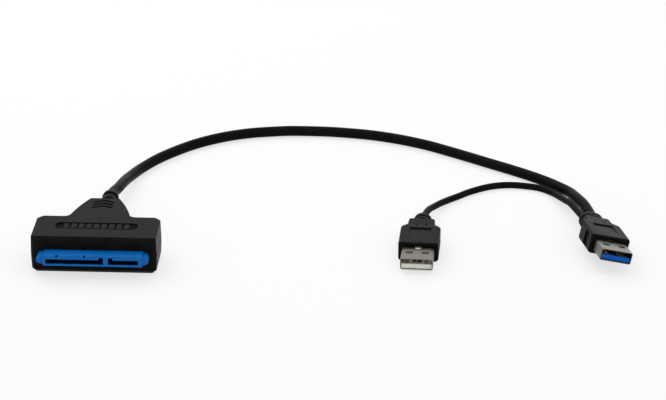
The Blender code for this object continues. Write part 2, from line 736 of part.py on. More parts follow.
def strain_relief():
    # A collar inside the neck, a waist through its wall, then rings and a rounded mouth
    inside = NECK_END - WALL - FIT
    outside = NECK_END + FIT
    profile = [(inside - BOOT_COLLAR_DEPTH, BOOT_COLLAR), (inside, BOOT_COLLAR)]
    profile += [(inside, BOOT_WAIST), (outside, BOOT_WAIST)]
    pitch = (BOOT_END - BOOT_DOME - outside) / BOOT_RINGS
    edge = BOOT_RADIUS - BOOT_WAIST
    for index in range(BOOT_RINGS):
        start = outside + index * pitch
        stop = start + pitch * BOOT_RING_SHARE
        profile += [(start, BOOT_RADIUS - edge / 3), (start + edge / 3, BOOT_RADIUS)]
        profile += [(stop - edge / 3, BOOT_RADIUS), (stop, BOOT_RADIUS - edge / 3)]
        profile += [(stop + edge / 3, BOOT_WAIST), (start + pitch - edge / 3, BOOT_WAIST)]
    for index in range(6):
        angle = math.radians(90) * index / 5
        along = BOOT_END - BOOT_DOME + BOOT_DOME * math.sin(angle)
        profile.append((along, BOOT_MOUTH + (BOOT_RADIUS - BOOT_MOUTH) * math.cos(angle)))
    boot = finish("sata_strain_relief", turned(profile), black_jacket, 40.0)
    boot.location = (0.0, FACE_Y, MID_HEIGHT)
    return boot


# USB plugs, each modelled with its axis on Y, its nose at -Y and its front face at y = 0

def body_stations(tail_width):
    # Depth, width, height and upper and lower corner radius of the moulded body, from front to back
    corners = (BODY_TOP_CORNER, BODY_BOTTOM_CORNER)
    shoulder = BODY_DEPTH + SHOULDER_DEPTH
    step_end = shoulder + STEP_DEPTH
    stations = []
    for index in range(4):
        angle = math.radians(90) * index / 3
        inset = 2 * BODY_EDGE * (1 - math.sin(angle))
        along = BODY_EDGE * (1 - math.cos(angle))
        stations.append((along, BODY_WIDTH - inset, BODY_HEIGHT - inset, *corners))
    stations += [
        (BODY_DEPTH, BODY_WIDTH, BODY_HEIGHT, *corners),
        (shoulder, STEP_WIDTH, STEP_HEIGHT, *corners),
        (step_end - BODY_TOP_CORNER, STEP_END_WIDTH + BODY_TOP_CORNER, STEP_HEIGHT, *corners),
        (step_end, STEP_END_WIDTH - BODY_TOP_CORNER, STEP_HEIGHT - BODY_TOP_CORNER, *corners),
    ]
    round_corner = TAIL_HEIGHT / 2
    narrow = tail_width - 2 * TAIL_GROOVE_DEPTH
    low = TAIL_HEIGHT - 2 * TAIL_GROOVE_DEPTH
    for index in range(TAIL_RINGS):
        start = step_end + index * TAIL_PITCH
        for along in (SNUG, TAIL_GROOVE):
            stations.append((start + along, narrow, low, low / 2, low / 2))
        for along in (TAIL_GROOVE + SNUG, TAIL_PITCH):
            stations.append((start + along, tail_width, TAIL_HEIGHT, round_corner, round_corner))
    mouth_width = tail_width - TAIL_HEIGHT + TAIL_MOUTH_HEIGHT
    for share, reach in ((0.5, 0.87), (0.87, 0.5), (1.0, 0.0)):
        height = TAIL_MOUTH_HEIGHT + (TAIL_HEIGHT - TAIL_MOUTH_HEIGHT) * reach
        width = mouth_width + (tail_width - mouth_width) * reach
        stations.append((BODY_LENGTH - TAIL_DOME * (1 - share), width, height, height / 2, height / 2))
    return stations


def body_rings(tail_width):
    return [[(x, along, z) for x, z in section(width, height, top, bottom)]
            for along, width, height, top, bottom in body_stations(tail_width)]


def plug_frame(name, tail, tail_width, turn, lean=0.0, lift=0.0):
    # The plug rests on whichever point of its body its lean and its lift make the lowest
    pose = Matrix.Rotation(turn, 4, "Z") @ Matrix.Rotation(-lift, 4, "X") @ Matrix.Rotation(lean, 4, "Y")
    pose @= Matrix.Translation((0.0, -BODY_LENGTH, 0.0))
    lowest = min((pose @ Vector(point)).z for ring in body_rings(tail_width) for point in ring)
    frame = bpy.data.objects.new(name, None)
    bpy.context.scene.collection.objects.link(frame)
    frame.matrix_world = Matrix.Translation((*tail, -lowest)) @ pose
    return frame


def overmould(name, frame, tail_width):
    shape = bmesh.new()
    skin_rings(shape, body_rings(tail_width))
    body = finish(name, shape, black_case, 35.0, frame)
    cut(body, shell_pocket(name, frame), mould_pocket(name, frame))
    cut(body, top_panel(name, frame), top_dots(name, frame), grip_recesses(name, frame))
    return body


def shell_pocket(name, frame):
    outline = section(SHELL_WIDTH + 2 * SEAM, SHELL_HEIGHT + 2 * SEAM, SHELL_CORNER, SHELL_CORNER)
    return finish(f"{name}_shell_pocket", front_prism(outline, -WALL, SHELL_IN + FIT), None, parent=frame)


def mould_pocket(name, frame):
    half_x = SHELL_WIDTH / 2 - MOULD_INSET + FIT
    half_z = SHELL_HEIGHT / 2 - MOULD_INSET + FIT
    low = (-half_x, SHELL_IN, -half_z)
    high = (half_x, SHELL_IN + 3 * FIT + MOULD_LENGTH, half_z)
    return box_piece(f"{name}_mould_pocket", low, high, None, frame)


def top_panel(name, frame):
    # A shallow recess in the top, deepest along its back edge and running out towards the front
    top = BODY_HEIGHT / 2
    slope = PANEL_DEPTH / PANEL_LENGTH
    front = PANEL_BACK - PANEL_LENGTH - WALL
    profile = [(PANEL_BACK, top - PANEL_DEPTH), (PANEL_BACK, top + WALL)]
    profile += [(front, top + WALL), (front, top + slope * WALL)]
    return finish(f"{name}_top_panel", side_prism(profile, -PANEL_HALF, PANEL_HALF), None, parent=frame)


def top_dots(name, frame):
    # Two small pits behind the recess
    top = BODY_HEIGHT / 2
    shape = bmesh.new()
    for side in (-1, 1):
        ring = []
        for index in range(12):
            angle = 2 * math.pi * index / 12
            ring.append((side * DOT_HALF_SPAN + DOT_RADIUS * math.cos(angle),
                         DOT_BACK + DOT_RADIUS * math.sin(angle)))
        levels = (top - 2 * PANEL_DEPTH, top + WALL)
        skin_rings(shape, [[(x, y, level) for x, y in ring] for level in levels])
    return finish(f"{name}_top_dots", shape, None, parent=frame)


def grip_recesses(name, frame):
    shape = bmesh.new()
    for side in (-1, 1):
        inner = side * (BODY_WIDTH / 2 - GRIP_DEPTH)
        outer = side * (BODY_WIDTH / 2 + WALL)
        add_box(shape, (min(inner, outer), GRIP_FRONT, -GRIP_HALF_HEIGHT),
                (max(inner, outer), GRIP_FRONT + GRIP_LENGTH, GRIP_HALF_HEIGHT))
    return finish(f"{name}_grip_recesses", shape, None, parent=frame)


def plug_shell(name, frame):
    # One folded sheet, open at both ends, with two latch windows above and two below, and a notch at
    # its root that shows the insulator
    outer = section(SHELL_WIDTH, SHELL_HEIGHT, SHELL_CORNER, SHELL_CORNER)
    inner_corner = SHELL_CORNER - SHELL_SHEET
    inner_width = SHELL_WIDTH - 2 * SHELL_SHEET
    inner = section(inner_width, SHELL_HEIGHT - 2 * SHELL_SHEET, inner_corner, inner_corner)
    ends = ((outer, -SHELL_OUT), (outer, SHELL_IN), (inner, SHELL_IN), (inner, -SHELL_OUT))
    rings = [[(x, along, z) for x, z in ring] for ring, along in ends]
    shape = bmesh.new()
    skin_rings(shape, rings, closed=True)
    shell = finish(name, shape, tin_steel, 35.0, frame)
    windows = bmesh.new()
    middle = WINDOW_FROM_TIP - SHELL_OUT
    for side in (-1, 1):
        for low, high in ((-SHELL_HEIGHT, -SHELL_HEIGHT / 4), (SHELL_HEIGHT / 4, SHELL_HEIGHT)):
            centre = side * WINDOW_HALF_SPAN
            add_box(windows, (centre - WINDOW_SIZE / 2, middle - WINDOW_LENGTH / 2, low),
                    (centre + WINDOW_SIZE / 2, middle + WINDOW_LENGTH / 2, high))
    notch = [(-NOTCH_WIDTH / 2, FIT), (NOTCH_TAPER - NOTCH_WIDTH / 2, -NOTCH_LENGTH)]
    notch += [(-x, y) for x, y in reversed(notch)]
    skin_rings(windows, [[(x, y, z) for x, y in notch] for z in (SHELL_HEIGHT / 4, SHELL_HEIGHT)])
    cut(shell, finish(f"{name}_windows", windows, None, parent=frame))
    return shell


def tongue_top():
    return -SHELL_HEIGHT / 2 + SHELL_SHEET + SEAM + TONGUE_SHEET


def plug_tongue(name, frame, surface):
    # The insulator: a flat tongue in the lower half of the shell and a block that closes its back
    half = SHELL_WIDTH / 2 - SHELL_SHEET - SEAM
    low = -SHELL_HEIGHT / 2 + SHELL_SHEET + SEAM
    high = SHELL_HEIGHT / 2 - SHELL_SHEET - SEAM
    front = -SHELL_OUT + TONGUE_SET_BACK
    profile = [(front, low), (SHELL_IN, low), (SHELL_IN, high)]
    profile += [(-TONGUE_BASE, high), (-TONGUE_BASE, tongue_top()), (front, tongue_top())]
    return finish(name, side_prism(profile, -half, half), surface, parent=frame)


def flat_contact(name, frame, place):
    # The two outer contacts reach further forward, so that the supply is joined first
    level = tongue_top() + SNUG
    front = -SHELL_OUT + PAD_FROM_TIP
    back = front + PAD_LENGTH
    if abs(place) < max(PAD_PLACES):
        front += PAD_STAGGER
    return box_piece(name, (place - PAD_WIDTH / 2, front, level),
                     (place + PAD_WIDTH / 2, back, level + PAD_SHEET), gold_contact, frame)


def spring_contact(name, frame, place):
    # A short raised spring behind the flat contacts
    level = tongue_top() + SNUG + PAD_SHEET / 2
    start = -TONGUE_BASE - SNUG - SPRING_LENGTH
    centre = [(start, level), (start + SPRING_FOOT, level),
              (start + SPRING_LENGTH / 2, level + SPRING_RISE),
              (start + SPRING_LENGTH - SPRING_FOOT, level), (start + SPRING_LENGTH, level)]
    shape = side_prism(strip(centre, PAD_SHEET), place - SPRING_WIDTH / 2, place + SPRING_WIDTH / 2)
    return finish(name, shape, gold_contact, parent=frame)


def inner_mould(name, frame):
    # The hard block around the wire joints behind the shell, inside the soft body
    half_x = SHELL_WIDTH / 2 - MOULD_INSET
    half_z = SHELL_HEIGHT / 2 - MOULD_INSET
    low = (-half_x, SHELL_IN + 2 * FIT, -half_z)
    high = (half_x, SHELL_IN + 2 * FIT + MOULD_LENGTH, half_z)
    return box_piece(name, low, high, clear_mould, frame)


def usb_plug(prefix, frame, tail_width, tongue_surface, springs):
    overmould(f"{prefix}_overmould", frame, tail_width)
    plug_shell(f"{prefix}_shell", frame)
    plug_tongue(f"{prefix}_tongue", frame, tongue_surface)
    inner_mould(f"{prefix}_inner_mould", frame)
    count = 0
    for place in PAD_PLACES:
        count += 1
        flat_contact(f"{prefix}_contact_{count}", frame, place)
    for place in springs:
        count += 1
        spring_contact(f"{prefix}_contact_{count}", frame, place)


# Cables

def smooth_route(points, spacing):
    # Evenly spaced points along a Catmull-Rom curve through the route, with one more close to each end,
    # so that the cable leaves its mouths square
    route = [Vector(point) for point in points]
    route = [2 * route[0] - route[1]] + route + [2 * route[-1] - route[-2]]
    fine = []
    for before, start, end, after in zip(route, route[1:], route[2:], route[3:]):
        for index in range(24):
            t = index / 24
            fine.append(0.5 * (2 * start + (end - before) * t
                               + (2 * before - 5 * start + 4 * end - after) * t ** 2
                               + (3 * start - before - 3 * end + after) * t ** 3))
    fine.append(route[-2])
    lengths = [0.0]
    for first, second in zip(fine, fine[1:]):
        lengths.append(lengths[-1] + (second - first).length)
    whole = lengths[-1]
    count = round(whole / spacing)
    distances = [whole * index / count for index in range(count + 1)]
    distances[1:1] = [distances[1] / 5]
    distances[-1:-1] = [whole - distances[1]]
    even = []
    place = 0
    for wanted in distances:
        while place < len(lengths) - 2 and lengths[place + 1] < wanted:
            place += 1
        share = (wanted - lengths[place]) / (lengths[place + 1] - lengths[place])
        even.append(fine[place].lerp(fine[place + 1], share))
    return even


def cable(name, points, diameter, surface):
    data = bpy.data.curves.new(name, "CURVE")
    data.dimensions = "3D"
    data.bevel_depth = diameter / 2
    data.bevel_resolution = 2
    data.use_fill_caps = True
    path = smooth_route(points, POINT_SPACING * diameter)
    spline = data.splines.new("POLY")
    spline.points.add(len(path) - 1)
    for point, place in zip(spline.points, path):
        point.co = (*place, 1.0)
    data.materials.append(surface)
    piece = bpy.data.objects.new(name, data)
    bpy.context.scene.collection.objects.link(piece)
    return piece


def mouth(frame, side):
    # The point just behind a plug's tail where a cable meets it
    return tuple(frame.matrix_world @ Vector((side, BODY_LENGTH + FIT, 0.0)))


upper_shell()
lower_shell()
sata_receptacle()
sata_contacts()
bridge_board()
board_parts()
strain_relief()

usb3_frame = plug_frame("usb3_plug", USB3_TAIL, USB3_TAIL_WIDTH, USB3_TURN, USB3_LEAN, USB3_LIFT)
usb2_frame = plug_frame("usb2_plug", USB2_TAIL, USB2_TAIL_WIDTH, USB2_TURN)
usb_plug("usb3", usb3_frame, USB3_TAIL_WIDTH, blue_tongue, SPRING_PLACES)
usb_plug("usb2", usb2_frame, USB2_TAIL_WIDTH, ivory_tongue, ())

housing_exit = (0.0, FACE_Y + BOOT_END + FIT, MID_HEIGHT)
cable("main_cable", (housing_exit, *MAIN_ROUTE, mouth(usb3_frame, MAIN_SIDE)), MAIN_DIAMETER, black_jacket)
supply_route = (mouth(usb3_frame, THIN_SIDE), *THIN_ROUTE, mouth(usb2_frame, 0.0))
cable("power_cable", supply_route, THIN_DIAMETER, black_jacket)
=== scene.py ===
import math
import bpy
from mathutils import Matrix, Vector


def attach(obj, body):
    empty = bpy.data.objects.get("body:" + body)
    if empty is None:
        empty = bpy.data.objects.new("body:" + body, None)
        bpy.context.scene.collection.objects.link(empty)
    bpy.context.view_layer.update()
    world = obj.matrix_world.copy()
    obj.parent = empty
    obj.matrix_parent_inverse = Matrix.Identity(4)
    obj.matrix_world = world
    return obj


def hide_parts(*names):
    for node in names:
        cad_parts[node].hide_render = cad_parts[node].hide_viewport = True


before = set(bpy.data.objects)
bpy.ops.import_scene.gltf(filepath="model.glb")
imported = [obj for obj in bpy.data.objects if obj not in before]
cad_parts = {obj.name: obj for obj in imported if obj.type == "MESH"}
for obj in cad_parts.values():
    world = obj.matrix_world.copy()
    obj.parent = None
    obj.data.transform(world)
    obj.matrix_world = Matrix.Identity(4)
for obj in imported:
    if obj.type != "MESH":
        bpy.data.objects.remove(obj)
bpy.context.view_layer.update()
print("frame loaded,", len(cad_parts), "nodes")


hair = 0.00001    # what counts as the same place
past = 0.001      # how far a cutter reaches past what it cuts
fit = 0.0003      # gap between pieces that touch
slack = 0.0001    # how far round a place its edges are looked for
reach = 0.001     # the same, where nothing else is near


# modelling helpers, each one works on the active piece

def objectMode():
    if bpy.context.object and bpy.context.object.mode != "OBJECT":
        bpy.ops.object.mode_set(mode="OBJECT")


def only(piece):
    objectMode()
    bpy.ops.object.select_all(action="DESELECT")
    piece.select_set(True)
    bpy.context.view_layer.objects.active = piece


def started(name):  # the primitive that was just added, with its place put into its mesh
    piece = bpy.context.object
    piece.name = name
    piece.data.name = name
    bpy.ops.object.transform_apply(location=True, rotation=True, scale=True)
    return piece


def clearAll():
    objectMode()
    bpy.ops.object.select_all(action="DESELECT")


def span(middle, size):
    return middle - size / 2, middle + size / 2


def box(name, across, along, up):  # a block from its two ends on each axis
    return block(name, *zip(across, along, up))


def block(name, low, high):
    clearAll()
    middle = [(a + b) / 2 for a, b in zip(low, high)]
    size = [b - a for a, b in zip(low, high)]
    bpy.ops.mesh.primitive_cube_add(size=1.0, location=middle, scale=size)
    return started(name)


def sheetAt(name, low, high, level):
    clearAll()
    middle = ((low[0] + high[0]) / 2, (low[1] + high[1]) / 2, level)
    bpy.ops.mesh.primitive_plane_add(size=1.0, location=middle)
    bpy.context.object.scale = (high[0] - low[0], high[1] - low[1], 1.0)
    return started(name)


def rod(name, start, end, radius, sides=48):  # a cylinder along +Y or +Z
    clearAll()
    way = Vector(end) - Vector(start)
    turn = (0.0, 0.0, 0.0) if abs(way.z) > abs(way.y) else (math.radians(-90), 0.0, 0.0)
    bpy.ops.mesh.primitive_cylinder_add(vertices=sides, radius=radius, depth=way.length,
                                        location=(Vector(start) + Vector(end)) / 2, rotation=turn)
    return started(name)


def editMode():
    bpy.ops.object.mode_set(mode="EDIT")


def edit(kind):
    editMode()
    bpy.ops.mesh.select_mode(type=kind)
    bpy.ops.mesh.select_all(action="DESELECT")


def pick(piece, kind, test):
    only(piece)
    edit(kind)
    objectMode()
    mesh = piece.data
    for item in {"FACE": mesh.polygons, "EDGE": mesh.edges, "VERT": mesh.vertices}[kind]:
        item.select = bool(test(item))
    editMode()


def ends(piece, side):
    return [piece.data.vertices[index].co for index in side.vertices]


def pickFaces(piece, test):
    pick(piece, "FACE", lambda face: test(face.center, face.normal))


def pickEdges(piece, test):
    pick(piece, "EDGE", lambda side: test(*ends(piece, side)))


def pickSpots(piece, test):
    pick(piece, "VERT", lambda spot: test(spot.co))


def pickSharp(piece, angle, keep):  # sharp edges that also pass a test of their two ends
    only(piece)
    edit("EDGE")
    bpy.ops.mesh.edges_select_sharp(sharpness=math.radians(angle))
    objectMode()
    for side in piece.data.edges:
        if side.select:
            side.select = bool(keep(*ends(piece, side)))
    editMode()


def bevelEdges(width, segments=1):
    bpy.ops.mesh.bevel(offset=width, segments=segments, affect="EDGES")
    objectMode()


def pull(move):
    bpy.ops.mesh.extrude_region_move(TRANSFORM_OT_translate={"value": move})


def grow(scale, centre):
    bpy.ops.transform.resize(value=scale, center_override=centre)


def drawOut(stations, base=0.0, level=0.0):  # pulls the picked side through depths, widths and heights
    depth, wide, high = stations[0]
    for nextDepth, nextWide, nextHigh in stations[1:]:
        pull((0.0, nextDepth - depth, 0.0))
        grow((nextWide / wide, 1.0, nextHigh / high), (0.0, base + nextDepth, level))
        depth, wide, high = nextDepth, nextWide, nextHigh
    objectMode()


def split(piece, place, normal, clear=False):  # clear takes away the normal's side and closes the cut
    only(piece)
    editMode()
    bpy.ops.mesh.select_mode(type="FACE")
    bpy.ops.mesh.select_all(action="SELECT")
    bpy.ops.mesh.bisect(plane_co=place, plane_no=normal, clear_outer=clear, use_fill=clear)
    objectMode()


def closeOpen(piece):  # fills the open side with one face
    only(piece)
    edit("EDGE")
    bpy.ops.mesh.select_non_manifold(extend=False)
    bpy.ops.mesh.edge_face_add()
    bpy.ops.mesh.select_all(action="SELECT")
    bpy.ops.mesh.normals_make_consistent(inside=False)
    objectMode()


def near(first, second):
    return abs(first - second) < hair


def atBack(centre, normal):  # a test for faces that look along +Y
    return normal.y > 0.9


def runsAlong(axis):  # a test for edges that run along one axis
    others = [other for other in range(3) if other != axis]
    return lambda a, b: all(near(a[other], b[other]) for other in others)


def carve(piece, cutters, operation="DIFFERENCE"):
    for cutter in cutters:
        only(piece)
        step = piece.modifiers.new("carve", "BOOLEAN")
        step.operation = operation
        step.solver = "EXACT"
        step.object = cutter
        bpy.ops.object.modifier_apply(modifier=step.name)
        bpy.data.objects.remove(cutter, do_unlink=True)


def shadeSmooth(piece, angle=35.0):
    only(piece)
    editMode()
    bpy.ops.mesh.select_all(action="SELECT")
    bpy.ops.mesh.remove_doubles(threshold=0.000002)
    bpy.ops.mesh.normals_make_consistent(inside=False)
    objectMode()
    bpy.ops.object.shade_smooth_by_angle(angle=math.radians(angle))
    step = piece.modifiers.new("even", "WEIGHTED_NORMAL")
    step.keep_sharp = True
    bpy.ops.object.modifier_apply(modifier=step.name)


def moveTo(piece, place):  # puts a placement matrix into the mesh
    piece.matrix_world = place
    only(piece)
    bpy.ops.object.transform_apply(location=True, rotation=True, scale=True)


def together(pieces, name):
    clearAll()
    for piece in pieces:
        piece.select_set(True)
    bpy.context.view_layer.objects.active = pieces[0]
    bpy.ops.object.join()
    pieces[0].name = name
    return pieces[0]


def curvePoints(start, control, end, steps):  # points along a quadratic curve, without its first
    points = []
    for index in range(1, steps + 1):
        t = index / steps
        points.append([(1 - t) ** 2 * a + 2 * t * (1 - t) * b + t ** 2 * c
                       for a, b, c in zip(start, control, end)])
    return points


# shader helpers

class Wire:  # one output socket, so that sums are written as they are read
    def __init__(self, paint, socket):
        self.paint = paint
        self.socket = socket

    def __add__(self, other):
        return self.paint.sum("ADD", self, other)

    def __radd__(self, other):
        return self.paint.sum("ADD", other, self)

    def __sub__(self, other):
        return self.paint.sum("SUBTRACT", self, other)

    def __mul__(self, other):
        return self.paint.sum("MULTIPLY", self, other)


class Paint:  # one material being mixed
    def __init__(self, name):
        self.material = bpy.data.materials.new(name)
        self.material.use_nodes = True
        self.tree = self.material.node_tree
        self.shader = self.tree.nodes["Principled BSDF"]

    def node(self, kind, settings=None, inputs=None, out=0):
        made = self.tree.nodes.new(kind)
        for key, value in (settings or {}).items():
            setattr(made, key, value)
        for key, value in (inputs or {}).items():
            self.feed(made.inputs[key], value)
        return Wire(self, made.outputs[out])

    def feed(self, socket, value):
        if isinstance(value, Wire):
            self.tree.links.new(value.socket, socket)
        else:
            socket.default_value = value

    def sum(self, operation, first, second):
        return self.node("ShaderNodeMath", {"operation": operation}, {0: first, 1: second})

    def place(self, scale=(1.0, 1.0, 1.0)):  # Object coordinates, stretched where a grain runs one way
        where = self.node("ShaderNodeTexCoord", out="Object")
        if scale == (1.0, 1.0, 1.0):
            return where
        return self.node("ShaderNodeMapping", inputs={"Vector": where, "Scale": scale})

    def noise(self, where, scale, detail=3.0, rough=0.55):
        return self.node("ShaderNodeTexNoise", inputs={
            "Vector": where, "Scale": scale, "Detail": detail, "Roughness": rough})

    def ramp(self, value, low, high, first=0.0, last=1.0):
        return self.node("ShaderNodeMapRange", inputs={
            "Value": value, "From Min": low, "From Max": high, "To Min": first, "To Max": last})

    def axes(self, where):
        parts = self.tree.nodes.new("ShaderNodeSeparateXYZ")
        self.feed(parts.inputs[0], where)
        return [Wire(self, output) for output in parts.outputs]

    def band(self, value, rise, fall):  # 1 between two soft ends
        return self.ramp(value, *rise) * self.ramp(value, *fall, 1.0, 0.0)

    def patch(self, place, across, along, up):  # 1 in a box that lies evenly about x = 0
        x, y, z = self.axes(place)
        inside = self.ramp(self.sum("ABSOLUTE", x, 0.0), *across, 1.0, 0.0) * self.band(y, *along)
        return inside * self.band(z, *up)

    def blend(self, mask, first, second):
        return self.node("ShaderNodeMix", {"data_type": "RGBA"}, {0: mask, 6: first, 7: second}, out=2)

    def cloudy(self, value, first, second):
        return self.blend(self.ramp(value, 0.3, 0.7), first, second)

    def bump(self, height, strength, distance):
        return self.node("ShaderNodeBump", inputs={
            "Height": height, "Strength": strength, "Distance": distance})

    def done(self, colour, roughness, normal=None, **fixed):
        self.feed(self.shader.inputs["Base Color"], colour)
        self.feed(self.shader.inputs["Roughness"], roughness)
        if normal:
            self.feed(self.shader.inputs["Normal"], normal)
        for key, value in fixed.items():
            self.shader.inputs[key.replace("_", " ")].default_value = value
        return self.material


def shade(red, green, blue):
    return (red, green, blue, 1.0)


# materials

casing = {
    "dark": shade(0.0048, 0.0047, 0.0052),
    "light": shade(0.0088, 0.0086, 0.0090),
    "dust": shade(0.030, 0.029, 0.028),
    # painted shade on the floors of the recess and the chevrons
    "sunkShade": shade(0.0016, 0.0016, 0.0018),
    "cloudSize": 160.0,     # per metre
    "grainSize": 4200.0,
    "speckSize": 900.0,
    "roughness": 0.36,
    "matt": 0.62,           # in the recess and the chevrons
    "grainHeight": 0.000012,
    "gloss": 0.020,
    # soft ends of the matt floors, which are also painted in shade: outwards, then forwards and backwards, then
    # below and above
    "label": ((0.0154, 0.0155), ((-0.0172, -0.0170), (-0.0108, -0.0106))),
    "chevrons": ((0.0039, 0.0040), ((0.0016, 0.0018), (0.0108, 0.0110))),
    "floors": ((0.01330, 0.01335), (0.01400, 0.01410)),
}


def casePaint(name, look):
    paint = Paint(name)
    where = paint.place()
    cloud = paint.noise(where, look["cloudSize"])
    grain = paint.noise(where, look["grainSize"], 2.0)
    speck = paint.ramp(paint.noise(where, look["speckSize"], 1.0), 0.74, 0.80)
    body = paint.cloudy(cloud, look["dark"], look["light"])
    # painted shade: the floors of the recess and the chevrons are darkened, and they are made matt
    sunkShade = (paint.patch(where, *look["label"], look["floors"])
            + paint.patch(where, *look["chevrons"], look["floors"]))
    colour = paint.blend(sunkShade, paint.blend(speck * 0.5, body, look["dust"]), look["sunkShade"])
    roughness = (look["roughness"] + (cloud - 0.5) * 0.16 + (grain - 0.5) * 0.10
                 + sunkShade * (look["matt"] - look["roughness"]))
    return paint.done(colour, roughness, paint.bump(grain, 0.7, look["grainHeight"]),
                      Specular_IOR_Level=look["gloss"])


jacket = {
    "dark": shade(0.0042, 0.0042, 0.0047),
    "light": shade(0.0072, 0.0071, 0.0075),
    "rubbed": shade(0.0150, 0.0148, 0.0145),
    "cloudSize": 220.0,
    "grainSize": 2600.0,
    "roughness": 0.34,
    "grainHeight": 0.000016,
    "gloss": 0.016,
}


def jacketPaint(name, look):
    paint = Paint(name)
    where = paint.place()
    cloud = paint.noise(where, look["cloudSize"])
    grain = paint.noise(where, look["grainSize"], 3.0)
    scuff = paint.ramp(paint.noise(where, 700.0, 4.0, 0.7), 0.62, 0.74)
    body = paint.cloudy(cloud, look["dark"], look["light"])
    colour = paint.blend(scuff * 0.35, body, look["rubbed"])
    roughness = look["roughness"] + (cloud - 0.5) * 0.20 + (grain - 0.5) * 0.12 + scuff * 0.08
    return paint.done(colour, roughness, paint.bump(grain, 0.6, look["grainHeight"]),
                      Specular_IOR_Level=look["gloss"])


receptacleBlue = {
    "deep": shade(0.0015, 0.1120, 0.4000),
    "pale": shade(0.0030, 0.1350, 0.4500),
    "rubbed": shade(0.030, 0.200, 0.500),
    "shadow": shade(0.0003, 0.0100, 0.0450),  # painted shadow inside the slots and pits
    # soft ends of what lies inside the nose: outwards, then forwards, then below and above
    "inside": ((0.0176, 0.0177), (-0.02975, -0.0296), ((0.0056, 0.0057), (0.0091, 0.0092))),
    "roughness": 0.42,
    "gloss": 0.12,
}
tongueBlue = {
    "deep": shade(0.0006, 0.0850, 0.3900),
    "pale": shade(0.0012, 0.0980, 0.4300),
    "rubbed": shade(0.020, 0.140, 0.460),
    "shadow": shade(0.0003, 0.0090, 0.0500),  # painted shadow deeper in than the tip
    "out": (0.197075, -0.977382, 0.076719),   # the way the plug points
    "tip": (0.0520, 0.0532),                  # soft end of the shade, measured along it
    "roughness": 0.38,
    "gloss": 0.10,
}
tongueIvory = {
    "deep": shade(0.690, 0.685, 0.615),
    "pale": shade(0.760, 0.755, 0.685),
    "rubbed": shade(0.820, 0.815, 0.750),
    "roughness": 0.42,
    "gloss": 0.40,
}


def slotMask(paint, look):  # where painted shadow goes: what lies inside the outer faces of the receptacle's nose
    x, y, z = paint.axes(paint.place())
    across, along, up = look["inside"]
    inside = paint.ramp(paint.sum("ABSOLUTE", x, 0.0), *across, 1.0, 0.0) * paint.ramp(y, *along)
    return inside * paint.band(z, *up)


def throatMask(paint, look):  # where painted shadow goes: what lies deeper in the plug than its tongue's tip
    out = paint.node("ShaderNodeVectorMath", {"operation": "DOT_PRODUCT"},
                     {0: paint.place(), 1: look["out"]}, out=1)
    return paint.ramp(out, *look["tip"], 1.0, 0.0)


def resinPaint(name, look, shadowMask=None):  # moulded resin with faint flow marks and a fine surface, and painted shadow where a mask is given
    paint = Paint(name)
    flow = paint.noise(paint.place((60.0, 260.0, 260.0)), 3.0)
    grain = paint.noise(paint.place(), 5200.0, 2.0)
    scuff = paint.ramp(paint.noise(paint.place(), 1500.0, 4.0, 0.7), 0.64, 0.76)
    body = paint.cloudy(flow, look["deep"], look["pale"])
    colour = paint.blend(scuff * 0.25, body, look["rubbed"])
    # painted shadow over what the mask covers
    if shadowMask:
        colour = paint.blend(shadowMask(paint, look), colour, look["shadow"])
    roughness = look["roughness"] + (flow - 0.5) * 0.14 + (grain - 0.5) * 0.08
    return paint.done(colour, roughness, paint.bump(grain, 0.5, 0.000007), Specular_IOR_Level=look["gloss"])


sheetSteel = {
    "bright": shade(0.135, 0.126, 0.101),
    "dull": shade(0.098, 0.091, 0.072),
    "paintedSheen": shade(0.430, 0.425, 0.385),   # painted highlight on its lower sheet, much brighter than the rest
    "roughness": 0.32,
    "lower": (0.0021, 0.0027),    # soft upper end of that painted highlight
}


def steelPaint(name, look):  # plated sheet, drawn lengthwise, with fine scratches and a painted highlight low down
    paint = Paint(name)
    where = paint.place()
    drawn = paint.noise(paint.place((5200.0, 240.0, 5200.0)), 1.0, 2.0)
    cloud = paint.noise(where, 420.0)
    scratch = paint.ramp(paint.noise(paint.place((900.0, 5200.0, 900.0)), 1.0, 4.0, 0.75), 0.66, 0.72)
    tone = paint.ramp(cloud * 0.6 + drawn * 0.4, 0.35, 0.65)
    # painted highlight: below a set height the steel turns much brighter
    low = paint.ramp(paint.axes(where)[2], *look["lower"], 1.0, 0.0)
    colour = paint.blend(low, paint.blend(tone, look["dull"], look["bright"]), look["paintedSheen"])
    roughness = look["roughness"] + (cloud - 0.5) * 0.20 + (drawn - 0.5) * 0.12 + scratch * 0.10
    return paint.done(colour, roughness, paint.bump(drawn - scratch * 0.8, 0.4, 0.000004), Metallic=1.0)


plating = {
    "fresh": shade(0.100, 0.050, 0.022),
    "worn": shade(0.050, 0.028, 0.015),
    "roughness": 0.34,
}
solderMask = {
    "line": shade(0.020, 0.170, 0.060),
    "ground": shade(0.008, 0.090, 0.034),
    "lineSize": 620.0,
    "roughness": 0.32,
}


def goldPaint(name, look):
    paint = Paint(name)
    where = paint.place()
    drawn = paint.noise(paint.place((3000.0, 300.0, 3000.0)), 1.0, 2.0)
    worn = paint.ramp(paint.noise(where, 1800.0, 3.0), 0.50, 0.72)
    colour = paint.blend(worn, look["fresh"], look["worn"])
    roughness = look["roughness"] + worn * 0.16 + (drawn - 0.5) * 0.10
    return paint.done(colour, roughness, paint.bump(drawn, 0.4, 0.000003), Metallic=1.0)


def boardPaint(name, look):  # solder mask over tracks
    paint = Paint(name)
    track = paint.node("ShaderNodeTexVoronoi", {"feature": "DISTANCE_TO_EDGE", "distance": "EUCLIDEAN"},
                       {"Vector": paint.place(), "Scale": look["lineSize"]})
    line = paint.ramp(track, 0.06, 0.10)
    cloud = paint.noise(paint.place(), 300.0)
    colour = paint.blend(line, look["line"], look["ground"])
    return paint.done(colour, look["roughness"] + cloud * 0.12, paint.bump(line, 0.5, 0.00001))


